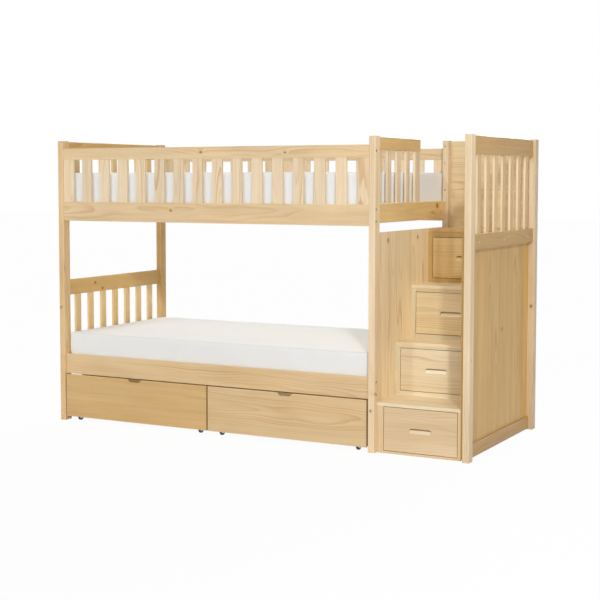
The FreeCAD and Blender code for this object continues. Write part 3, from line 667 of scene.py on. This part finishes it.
class BUNKBED_OT_end_panels(BunkBedStep):
    """Finish the rails and slats of the bed's ends and of the tower's side"""

    bl_idname = "bunkbed.end_panels"
    bl_label = "End Panels"

    def execute(self, context):
        dress_pine(context, "left_end_rails", "Y", "Z", repeats=(("Z", -0.04, 0.3),))
        for rail in ("stair_end", "stair_guard", "tower_top", "tower_mid", "tower_foot"):
            dress_pine(context, rail + "_rail", "Y", "Z")
        bunks, count = ("Z", 0.0, 1.1), 7
        # pale: how much painted highlight the slats' narrow sides get
        for node, width, pale in (("left_end_slats", 51.0 * MM, 0.0),
                                  ("tower_slats", 52.0 * MM, 0.6)):
            low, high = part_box(node)
            dress_pine(context, node, "Z", "Y",
                       repeats=(rows(low.y, high.y, count, width, "Y"), bunks),
                       section=(width, high.x - low.x), edges=pale)
        low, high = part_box("stair_guard_slats")
        stile, count, width = 66.0 * MM, 3, 51.0 * MM
        slats = between_stiles(low.y, high.y, stile, count, width, "Y")
        # the narrow sides of these slats get a little painted highlight
        dress_pine(context, "stair_guard_slats", "Z", "Y", repeats=(slats,), edges=0.2)
        return {"FINISHED"}


class BUNKBED_OT_wide_panels(BunkBedStep):
    """Finish the three glued panels of the stair tower"""

    bl_idname = "bunkbed.wide_panels"
    bl_label = "Wide Panels"

    def execute(self, context):
        # where each board starts along Y, and how much lighter it is
        inner = ((-0.4825, -0.01), (-0.4425, 0.0), (-0.3425, -0.035), (-0.2425, -0.01),
                 (-0.1475, -0.02), (-0.0525, 0.0), (0.0425, 0.03), (0.1375, 0.02),
                 (0.2325, 0.0), (0.3275, 0.015), (0.4225, 0.0))
        outer = ((-0.5105, 0.0), (-0.415, -0.015), (-0.325, 0.01), (-0.2455, -0.02),
                 (-0.0975, 0.015), (-0.0075, -0.02), (0.1195, 0.02), (0.215, 0.0),
                 (0.3175, 0.04), (0.415, 0.06))
        dress_pine(context, "stair_inner_panel", "Z", "Y", joints=inner)
        dress_pine(context, "tower_side_panel", "Z", "Y", joints=outer)
        dress_pine(context, "tower_back_panel", "X", "Z", repeats=(("Z", 0.0, 0.118),))
        return {"FINISHED"}


class BUNKBED_OT_stair(BunkBedStep):
    """Finish the riser frames, treads, landing, battens and drawer runners"""

    bl_idname = "bunkbed.stair"
    bl_label = "Stair"

    def execute(self, context):
        gap, beyond = 3.0 * MM, 1.0
        for step in range(1, 5):
            node = "riser_frame_%d" % step
            low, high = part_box(node)
            front_low, front_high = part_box("stair_drawer_front_%d" % step)
            left = ("X", low.x - beyond, front_low.x - gap)
            right = ("X", front_high.x + gap, high.x + beyond)
            halves = ("Z", (low.z + high.z) / 2 - 2.0, 2.0)
            dress_pine(context, node, "X", "Z", repeats=(halves,),
                       turned=[((stile,), "Z", "X") for stile in (left, right)])
        treads = (("Y", -0.6, 0.097), ("Z", 0.0, 0.28))
        for node in ("stair_treads", "stair_landing"):
            dress_pine(context, node, "X", "Y", repeats=treads)
        battens = (("Z", 0.0, 0.15), ("X", 0.7, 0.3))
        for node in ("tread_cleats", "drawer_runners"):
            dress_pine(context, node, "Y", "Z", repeats=battens)
        return {"FINISHED"}


def box_boards(node, side, bottom):
    """Turned boxes of a drawer box: its two sides and its bottom."""
    low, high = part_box(node)
    left, right = low.x + side, high.x - side
    return [((("X", low.x - 1.0, left),), "Y", "Z"),
            ((("X", right, high.x + 1.0),), "Y", "Z"),
            ((("X", left, right), ("Y", low.y - 1.0, high.y - side),
              ("Z", low.z - 1.0, low.z + bottom)), "X", "Y")]


class BUNKBED_OT_stair_drawers(BunkBedStep):
    """Finish the four stair drawers"""

    bl_idname = "bunkbed.stair_drawers"
    bl_label = "Stair Drawers"

    def execute(self, context):
        for step in range(1, 5):
            front = "stair_drawer_front_%d" % step
            low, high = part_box(front)
            slot = ((low.x + high.x) / 2, low.y, (low.z + high.z) / 2)
            half_x, half_z, depth = 63.0 * MM, 14.0 * MM, 14.0 * MM
            # the slot's ramp gets a painted highlight and its back wall painted shade
            dress_pine(context, front, "X", "Z", grip=(slot, half_x, half_z, depth, True))
            node = "stair_drawer_box_%d" % step
            dress_pine(context, node, "X", "Z", turned=box_boards(node, 12 * MM, 15 * MM))
        return {"FINISHED"}


class BUNKBED_OT_bed_drawers(BunkBedStep):
    """Finish the two rolling drawers under the lower bunk"""

    bl_idname = "bunkbed.bed_drawers"
    bl_label = "Bed Drawers"

    def execute(self, context):
        for side in ("left", "right"):
            front = "bed_drawer_front_" + side
            low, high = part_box(front)
            notch = ((low.x + high.x) / 2, low.y, high.z)
            half_x, half_z, depth = 60.0 * MM, 17.0 * MM, 13.0 * MM
            # the notch's ramp and back wall get painted shade
            dress_pine(context, front, "X", "Z", grip=(notch, half_x, half_z, depth, False))
            node = "bed_drawer_box_" + side
            dress_pine(context, node, "X", "Z", turned=box_boards(node, 15 * MM, 30 * MM))
        return {"FINISHED"}


class BUNKBED_OT_decks(BunkBedStep):
    """Finish the slats under the mattresses and the cleats that carry them"""

    bl_idname = "bunkbed.decks"
    bl_label = "Decks"

    def execute(self, context):
        low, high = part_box("deck_slats")
        count, width, decks, sides = 13, 70.0 * MM, ("Z", 0.0, 1.0), ("Y", -1.0, 1.0)
        dress_pine(context, "deck_slats", "Y", "X",
                   repeats=(rows(low.x, high.x, count, width, "X"), decks))
        dress_pine(context, "deck_cleats", "X", "Z", repeats=(decks, sides))
        return {"FINISHED"}


# ---- steel, beech and nylon -------------------------------------------------
def zinc(name, plating):
    """Zinc plated steel: fine brushed lines and slow clouds in the plating."""
    recipe = Recipe(name)
    here = recipe.here()
    brushed = recipe.noise(here, (150.0, 2500.0, 2500.0))
    wear_and_edge_highlight = recipe.noise(here, 160.0, 3.0).ease(0.55, 0.75)
    bare = linear(150, 148, 142)
    colour = recipe.blend(wear_and_edge_highlight * 0.5, tuple(plating), bare)
    rough = 0.3 + brushed * 0.18 + wear_and_edge_highlight * 0.12
    return recipe.finish(colour, rough, recipe.bump(brushed, 0.03 * MM), {"Metallic": 1.0})


def beech(look):
    """Bare beech dowels: fine flecks along Y on slow clouds."""
    recipe = Recipe("beech_dowels")
    here = recipe.here()
    fleck = recipe.noise(here, (1600.0, 180.0, 1600.0))
    slow = recipe.noise(here, (60.0, 8.0, 60.0))
    brown, pale = linear(176, 128, 86), linear(224, 196, 160)
    colour = recipe.blend(fleck.ease(0.5, 0.72) * 0.6, tuple(look.beech), brown)
    colour = recipe.blend(slow * 0.3, colour, pale)
    return recipe.finish(colour, 0.6 + fleck * 0.2, recipe.bump(fleck, 0.1 * MM, 0.6))


def nylon(look):
    """Black moulded nylon: fine grain, dusty and scuffed where the tread rolls."""
    recipe = Recipe("moulded_nylon")
    here = recipe.here()
    grain = recipe.noise(here, 2200.0)
    dust = recipe.noise(here, 120.0, 3.0)
    tread = 1.0 - abs(recipe.split(recipe.here("Normal"))[0]).ease(0.3, 0.7)
    scuffed = dust.ease(0.42, 0.7) * (tread * 0.6 + 0.2)
    dusty = linear(96, 92, 86)
    colour = recipe.blend(scuffed, tuple(look.nylon), dusty)
    return recipe.finish(colour, 0.42 + scuffed * 0.35, recipe.bump(grain, 0.05 * MM))


class BUNKBED_OT_hardware(BunkBedStep):
    """Finish the bolts, nuts, screws, dowels, caster brackets and wheels"""

    bl_idname = "bunkbed.hardware"
    bl_label = "Hardware"

    def execute(self, context):
        look = context.scene.bunk_bed_hardware
        bright = zinc("zinc", look.zinc)
        finishes = {"rail_bolts": zinc("dark_zinc", look.dark_zinc), "barrel_nuts": bright,
                    "mid_rail_screws": bright, "caster_brackets": bright,
                    "caster_wheels": nylon(look), "rail_dowels": beech(look)}
        for node in NODES:
            for kind, finish in finishes.items():
                if node.startswith(kind):
                    dress(node, finish)
        return {"FINISHED"}


# ---- mattresses -------------------------------------------------------------
def plan_outline(half_x, half_y, radius, turn):
    """Points and outward directions of a rounded rectangle.

    The turn runs from 0 to 1 by length: each straight side, then the quarter circle
    after it, counter-clockwise from the middle of the right side.
    """
    straight_x, straight_y = half_x - radius, half_y - radius
    arc = radius * np.pi / 2
    lengths = np.array([straight_y, arc, 2 * straight_x, arc, 2 * straight_y, arc,
                        2 * straight_x, arc, straight_y])
    ends = np.cumsum(lengths)
    s = np.mod(turn, 1.0) * ends[-1]
    part = np.searchsorted(ends, s, side="right").clip(0, 8)
    gone = s - (ends - lengths)[part]
    angle_at = np.array([0, 0, 1, 1, 2, 2, 3, 3, 4])[part] * np.pi / 2
    on_arc = part % 2 == 1
    angle = angle_at + np.where(on_arc, gone / radius, 0.0)
    corner_x = np.array([1, 1, 1, -1, -1, -1, -1, 1, 1])[part] * straight_x
    corner_y = np.array([0, 1, 1, 1, 1, -1, -1, -1, -1])[part] * straight_y
    walk = np.where(on_arc, 0.0, gone)
    out = np.stack([np.cos(angle), np.sin(angle)], -1)
    ahead = np.stack([-np.sin(angle), np.cos(angle)], -1)
    points = np.stack([corner_x, corner_y], -1) + out * radius + ahead * walk[..., None]
    return points, out, ends[-1]


def grid_faces(rows_count, columns, closed_rows=False):
    """Quads between the rings of a grid whose columns close on themselves."""
    row = np.arange(rows_count if closed_rows else rows_count - 1)[:, None]
    column = np.arange(columns)[None, :]
    after, beside = (row + 1) % rows_count, (column + 1) % columns
    corners = (row * columns + column, row * columns + beside,
               after * columns + beside, after * columns + column)
    return np.stack(corners, -1).reshape(-1, 4)


def placed(name, data):
    """A new object in the scene, at the origin."""
    made = bpy.data.objects.new(name, data)
    bpy.context.scene.collection.objects.link(made)
    return made


def mesh_object(name, points, faces):
    mesh = bpy.data.meshes.new(name)
    mesh.from_pydata(points.reshape(-1, 3).tolist(), [], faces.tolist())
    mesh.update()
    return placed(name, mesh)


def mattress_form(name, low, high, look):
    """A closed block with rounded edges and corners.

    One parameter goes round the plan's rounded rectangle. The other goes from the
    middle of the underside out to the edge, up the side and in to the middle of the
    top: a quarter circle joins side and faces, and the faces are the outline shrunk
    towards the centre.
    """
    half, middle, edge = (high - low) / 2, (high + low) / 2, look.edge
    quarter = np.linspace(0.0, np.pi / 2, 7)
    insets = np.concatenate([edge * (1 - np.sin(quarter)), edge * (1 - np.cos(quarter))])
    heights = np.concatenate([edge * (1 - np.cos(quarter)) - half[2],
                              half[2] - edge * (1 - np.sin(quarter))])
    shares = np.linspace(0.0, 1.0, 20)[1:-1]
    turns = 360
    turn = np.arange(turns) / float(turns)
    outline, out, _ = plan_outline(half[0], half[1], look.corner, turn)
    inner, _, _ = plan_outline(half[0] - edge, half[1] - edge, look.corner - edge, turn)
    levels = ([(inner * share, -half[2]) for share in shares]
              + [(outline - out * inset, height) for inset, height in zip(insets, heights)]
              + [(inner * share, half[2]) for share in shares[::-1]])
    rings = [np.concatenate([plan, np.full((turns, 1), level)], 1) for plan, level in levels]
    made = mesh_object(name, np.array(rings) + middle, grid_faces(len(rings), turns))
    cap = bmesh.new()
    cap.from_mesh(made.data)
    bmesh.ops.remove_doubles(cap, verts=cap.verts, dist=1e-6)
    bmesh.ops.holes_fill(cap, edges=cap.edges, sides=0)
    bmesh.ops.recalc_face_normals(cap, faces=cap.faces)
    cap.to_mesh(made.data)
    cap.free()
    return made


def coordinates(mesh):
    places = np.empty(len(mesh.vertices) * 3)
    mesh.vertices.foreach_get("co", places)
    return places.reshape(-1, 3)


def applied(made, kind, **settings):
    """Apply one modifier to a piece's mesh."""
    modifier = made.modifiers.new(kind.title(), kind)
    for key, value in settings.items():
        setattr(modifier, key, value)
    bpy.context.view_layer.update()
    evaluated = made.evaluated_get(bpy.context.evaluated_depsgraph_get())
    mesh = bpy.data.meshes.new_from_object(evaluated)
    made.modifiers.clear()
    old, made.data = made.data, mesh
    bpy.data.meshes.remove(old)


def swell(made, look, limit):
    """Let the filling press the cover outwards, and keep each point within its limit."""
    rest = coordinates(made.data)
    cloth = made.modifiers.new("Cloth", "CLOTH")
    cloth.settings.use_pressure = True
    cloth.settings.uniform_pressure_force = look.pressure
    cloth.settings.effector_weights.gravity = 0.0
    cloth.settings.quality = 5
    cloth.settings.mass = 0.35
    cloth.settings.tension_stiffness = 25.0
    cloth.settings.compression_stiffness = 25.0
    cloth.settings.bending_stiffness = 1.5
    cloth.point_cache.frame_end = look.steps
    scene = bpy.context.scene
    for step in range(1, look.steps + 1):
        scene.frame_set(step)
    evaluated = made.evaluated_get(bpy.context.evaluated_depsgraph_get())
    moved = coordinates(evaluated.data) - rest
    made.modifiers.clear()
    scene.frame_set(1)
    length = np.linalg.norm(moved, axis=1, keepdims=True)
    moved *= limit[:, None] * np.tanh(length / limit[:, None]) / np.maximum(length, 1e-9)
    return rest, moved


class BUNKBED_OT_mattresses(BunkBedStep):
    """Make the two mattresses: knitted cover, swelling between its seams, and welts"""

    bl_idname = "bunkbed.mattresses"
    bl_label = "Mattresses"

    def execute(self, context):
        look = context.scene.bunk_bed_mattress
        cover_finish, welt_finish = knit(look), welt_tape(look)
        for node in ("lower_mattress", "upper_mattress"):
            low, high = (np.array(corner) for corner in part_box(node))
            cover = make_cover(node + "_cover", low, high, look)
            welt = make_welts(node + "_welts", low, high, look)
            cover.data.materials.append(cover_finish)
            welt.data.materials.append(welt_finish)
            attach(cover, "frame")
            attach(welt, "frame")
            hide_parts(node)
        return {"FINISHED"}


def start_box(low, high, look):
    """The block before it swells: smaller by the bulge at the sides, the crown on top."""
    return (low + np.array([look.bulge, look.bulge, 0.0]),
            high - np.array([look.bulge, look.bulge, look.crown]))


def set_coordinates(mesh, places):
    mesh.vertices.foreach_set("co", places.ravel())
    mesh.update()


def smooth(mesh):
    mesh.polygons.foreach_set("use_smooth", np.ones(len(mesh.polygons), bool))


def make_cover(name, low, high, look):
    """The cover: remeshed block, swollen by its filling, held at both seams."""
    start_low, start_high = start_box(low, high, look)
    cover = mattress_form(name, start_low, start_high, look)
    applied(cover, "REMESH", mode="VOXEL", voxel_size=look.voxel, adaptivity=0.0,
            use_smooth_shade=True)
    places = coordinates(cover.data)
    middle, half = (start_low + start_high) / 2, (start_high - start_low) / 2
    side_gap = np.min(half[:2] - np.abs(places[:, :2] - middle[:2]), axis=1)
    top_gap = start_high[2] - places[:, 2]
    foot_gap = places[:, 2] - start_low[2]
    held, hold_reach, top_band = 0.35 * look.edge, 0.05, 0.03
    from_top = np.hypot(side_gap - held, top_gap - held)
    from_foot = np.hypot(side_gap - held, foot_gap - held)
    free = 1 - np.exp(-(np.minimum(from_top, from_foot) / hold_reach) ** 2)
    on_top = np.clip(1 - top_gap / top_band, 0, 1)
    limit = look.bulge + (look.crown - look.bulge) * on_top
    places, moved = swell(cover, look, limit)
    set_coordinates(cover.data, np.clip(places + moved * free[:, None], low, high))
    applied(cover, "SUBSURF", levels=1, render_levels=1)
    places = np.clip(coordinates(cover.data), low, high)
    places += pucker(places, start_low, start_high)
    set_coordinates(cover.data, np.clip(places, low, high))
    smooth(cover.data)
    return cover


def pucker(places, low, high):
    """Small gathers beside the seams: two sines round the plan, dying off within 30 mm."""
    middle, half = (low + high) / 2, (high - low) / 2
    fade, depth, wave_1, wave_2 = 0.03, 0.0006, 0.0085, 0.0137
    away = places - middle
    side_gap = np.min(half[:2] - np.abs(away[:, :2]), axis=1)
    seam_gap = np.minimum(high[2] - places[:, 2], places[:, 2] - low[2])
    near = np.exp(-((side_gap / fade) ** 2 + (seam_gap / fade) ** 2))
    walk = away[:, 0] + away[:, 1]
    wave = np.sin(walk / wave_1) * 0.6 + np.sin(walk / wave_2 + 1.3) * 0.4
    out = away / half
    out[:, 2] *= 0.4
    out /= np.maximum(np.linalg.norm(out, axis=1, keepdims=True), 1e-9)
    return out * (wave * near * depth)[:, None]


def make_welts(name, low, high, look):
    """Two welts: a circle swept round the plan at the top seam and at the foot seam."""
    start_low, start_high = start_box(low, high, look)
    middle, half = (start_low + start_high) / 2, (start_high - start_low) / 2
    inset = look.edge * (1 - math.sqrt(0.5))
    turns, sides = 720, 10
    turn = np.arange(turns) / float(turns)
    path, out, length = plan_outline(half[0] - inset, half[1] - inset,
                                     look.corner - inset, turn)
    around = np.arange(sides) / sides * 2 * np.pi
    reach = look.welt * np.cos(around)
    ring = np.zeros((turns, sides, 3))
    ring[..., :2] = path[:, None, :] + out[:, None, :] * reach[None, :, None]
    ring[..., :2] += middle[:2]
    faces = grid_faces(turns, sides, closed_rows=True)[:, ::-1]
    along = np.repeat(turn * length, sides)
    column = np.tile(np.arange(sides), turns)
    uv = np.stack([np.stack([along + length / turns * r, (column + c) / sides], -1)
                   for r, c in ((1, 0), (1, 1), (0, 1), (0, 0))], 1)
    points = []
    for level in (start_low[2] + inset, start_high[2] - inset):
        ring[..., 2] = level + look.welt * np.sin(around)
        points.append(ring.reshape(-1, 3).copy())
    made = mesh_object(name, np.concatenate(points),
                       np.concatenate([faces, faces + turns * sides]))
    layer = made.data.uv_layers.new(name="Welt")
    layer.data.foreach_set("uv", np.concatenate([uv, uv]).ravel())
    smooth(made.data)
    return made


def knit(look):
    """Plain knitted cover: rows of small loops, slow unevenness and a soft nap.

    The loops are the sum of two sine waves along the face's own two directions, which
    the object's coordinates give on the top and on each side.
    """
    recipe = Recipe("knitted_cover")
    here_vector = recipe.here()
    x, y, z = recipe.split(here_vector)
    facing = recipe.split(recipe.here("Normal"))
    first = x + (y - x) * (abs(facing[0]) > 0.6)
    second = z + (y - z) * (abs(facing[2]) > 0.6)
    column_pitch, course_pitch = 0.0016, 0.0013
    columns = (first * (2 * math.pi / column_pitch)).sine()
    courses = (second * (2 * math.pi / course_pitch) + abs(columns) * 1.3).sine()
    loops = abs(columns) * 0.6 + courses * 0.4
    slow = recipe.noise(here_vector, 9.0, 3.0)
    nap = recipe.noise(here_vector, 700.0)
    shade, between = linear(228, 227, 222), linear(190, 189, 184)
    colour = recipe.blend(slow.ease(0.35, 0.7) * 0.1, tuple(look.cover), shade)
    # painted shade between the knit's loops
    colour = recipe.blend((1.0 - loops) * 0.06, colour, between)
    return recipe.finish(colour, 0.82 + nap * 0.12,
                         recipe.bump(loops + nap * 0.5, 0.18 * MM),
                         {"Sheen Weight": 0.25, "Sheen Roughness": 0.45, "IOR": 1.35})


def welt_tape(look):
    """The welt's tape: twill lines and a thread that dips every 6 mm of its length."""
    recipe = Recipe("welt_tape")
    place = recipe.node("ShaderNodeUVMap", {"uv_map": "Welt"})
    along, around, _ = recipe.split(place)
    twill_pitch, stitch_pitch = 0.0011, 0.006
    twill = (along * (2 * math.pi / twill_pitch) + around * 12.0).sine()
    stitch = (along * (1.0 / stitch_pitch)).fract()
    dip = 1.0 - abs(stitch - 0.5).ease(0.28, 0.42)
    row = 1.0 - abs(around - 0.45).ease(0.03, 0.07)
    thread = dip * row
    bright, stitch_hole_shade = linear(244, 243, 240), linear(206, 205, 202)
    colour = recipe.blend(thread * 0.6, tuple(look.thread), bright)
    # painted shade where the thread sinks into its holes
    colour = recipe.blend((1.0 - dip) * row * 0.3, colour, stitch_hole_shade)
    return recipe.finish(colour, 0.8 + twill * 0.06,
                         recipe.bump(twill * 0.25 + thread, 0.3 * MM, 0.7),
                         {"Sheen Weight": 0.2, "IOR": 1.35})


# ---- stage ------------------------------------------------------------------
def floor_paint(look):
    """A pale matt floor with a white share that the camera and reflections see."""
    recipe = Recipe("stage_floor")
    cloud, pale = recipe.noise(recipe.here(), 1.5), linear(235, 235, 235)
    paint = recipe.blend(cloud * 0.05, tuple(look.floor), pale)
    matt = recipe.node("ShaderNodeBsdfDiffuse", None, {"Color": paint})
    white = recipe.node("ShaderNodeEmission", None, {"Strength": 1.0})
    share = recipe.camera_sees() * look.glow
    shader = recipe.node("ShaderNodeMixShader", None, {0: share, 1: matt, 2: white})
    recipe.node("ShaderNodeOutputMaterial", None, {"Surface": shader})
    return recipe.owner


def soft_world(look):
    """Even light from all round, plain white to the camera and in reflections."""
    recipe = Recipe("soft_studio", "worlds")
    strength = recipe.camera_sees() * (1.0 - look.sky) + look.sky
    sky = recipe.node("ShaderNodeBackground", None,
                      {"Color": (1.0, 1.0, 1.0), "Strength": strength})
    recipe.node("ShaderNodeOutputWorld", None, {"Surface": sky})
    return recipe.owner


class BUNKBED_OT_stage(BunkBedStep):
    """Make the floor, the soft light and the camera"""

    bl_idname = "bunkbed.stage"
    bl_label = "Stage"

    white = (1.0, 1.0, 1.0)
    # each far lamp's turn from the front towards the stair, its height over the floor
    # and its apparent size, in degrees, and its colour
    suns = (("key", 32.0, 24.0, 4.0, white), ("second", -15.0, 24.0, 6.0, white),
            ("rear", 185.0, 26.0, 24.0, (0.92, 0.98, 1.0)), ("top", 10.0, 80.0, 20.0, white))
    # each near lamp's width, the point it is turned to and its colour
    disks = (("fill", 1.8, (0.9, 0.0, 0.8), white),
             ("entry", 0.4, (0.75, 0.1, 1.2), (0.8, 0.93, 1.0)))

    def add_lamp(self, kind, name, strength, colour, toward):
        """A lamp with its back to where its light comes from."""
        lamp = bpy.data.lights.new(name + "_light", kind)
        lamp.energy, lamp.color = strength, colour
        made = placed(lamp.name, lamp)
        made.rotation_euler = toward.to_track_quat("Z", "Y").to_euler()
        return made

    def add_floor(self, look):
        side = np.linspace(-40.0, 40.0, 9)
        count = len(side)
        grid = np.stack(np.meshgrid(side, side, indexing="ij"), -1)
        points = np.concatenate([grid, np.zeros((count, count, 1))], -1)
        cells = np.arange(count * count).reshape(count, count)
        faces = np.stack([cells[:-1, :-1], cells[1:, :-1], cells[1:, 1:], cells[:-1, 1:]], -1)
        floor = mesh_object("stage_floor", points, faces.reshape(-1, 4))
        floor.data.materials.append(floor_paint(look))

    def add_camera(self, context, look):
        lens = bpy.data.cameras.new("photo_camera")
        lens.sensor_width, lens.lens = 36.0, look.lens
        lens.shift_x, lens.shift_y = look.shift
        lens.clip_start, lens.clip_end = 0.1, 200.0
        camera = placed("photo_camera", lens)
        turn, dip = look.camera_turn, look.camera_dip
        ahead = Vector((-math.sin(turn) * math.cos(dip), math.cos(turn) * math.cos(dip),
                        -math.sin(dip)))
        right = Vector((math.cos(turn), math.sin(turn), 0.0))
        view = Matrix((right, right.cross(ahead), -ahead)).transposed().to_4x4()
        view.translation = look.camera_place
        camera.matrix_world = view
        context.scene.camera = camera

    def execute(self, context):
        look = context.scene.bunk_bed_stage
        self.add_floor(look)
        context.scene.world = soft_world(look)
        for name, turn, height, size, colour in self.suns:
            turn, height = math.radians(turn), math.radians(height)
            toward = Vector((math.sin(turn) * math.cos(height),
                             -math.cos(turn) * math.cos(height), math.sin(height)))
            sun = self.add_lamp("SUN", name, getattr(look, name), colour, toward)
            sun.data.angle = math.radians(size)
        for name, size, target, colour in self.disks:
            place = Vector(getattr(look, name + "_place"))
            disk = self.add_lamp("AREA", name, getattr(look, name), colour,
                                 place - Vector(target))
            disk.data.shape, disk.data.size = "DISK", size
            disk.location = place
            disk.visible_camera = False
        self.add_camera(context, look)
        context.scene.view_settings.view_transform = "Standard"
        return {"FINISHED"}


# ---- panel and registration -------------------------------------------------
STEPS = (BUNKBED_OT_posts, BUNKBED_OT_side_rails, BUNKBED_OT_guard_slats,
         BUNKBED_OT_end_panels, BUNKBED_OT_wide_panels, BUNKBED_OT_stair,
         BUNKBED_OT_stair_drawers, BUNKBED_OT_bed_drawers, BUNKBED_OT_decks,
         BUNKBED_OT_hardware, BUNKBED_OT_mattresses, BUNKBED_OT_stage)


class BUNKBED_PT_steps(bpy.types.Panel):
    """Steps that finish the bunk bed"""

    bl_label = "Bunk Bed"
    bl_space_type = "VIEW_3D"
    bl_region_type = "UI"
    bl_category = "Bunk Bed"

    def draw(self, context):
        for step in STEPS:
            self.layout.operator(step.bl_idname)


GROUPS = {"bunk_bed_pine": BunkBedPine, "bunk_bed_mattress": BunkBedMattress,
          "bunk_bed_hardware": BunkBedHardware, "bunk_bed_stage": BunkBedStage}
CLASSES = (*GROUPS.values(), *STEPS, BUNKBED_PT_steps)


def register():
    for kind in CLASSES:
        bpy.utils.register_class(kind)
    for name, kind in GROUPS.items():
        setattr(bpy.types.Scene, name, PointerProperty(type=kind))


def unregister():
    for name in GROUPS:
        delattr(bpy.types.Scene, name)
    for kind in reversed(CLASSES):
        bpy.utils.unregister_class(kind)


def main():
    register()
    for step in STEPS:
        family, name = step.bl_idname.split(".")
        getattr(getattr(bpy.ops, family), name)()


if __name__ == "__main__":
    main()
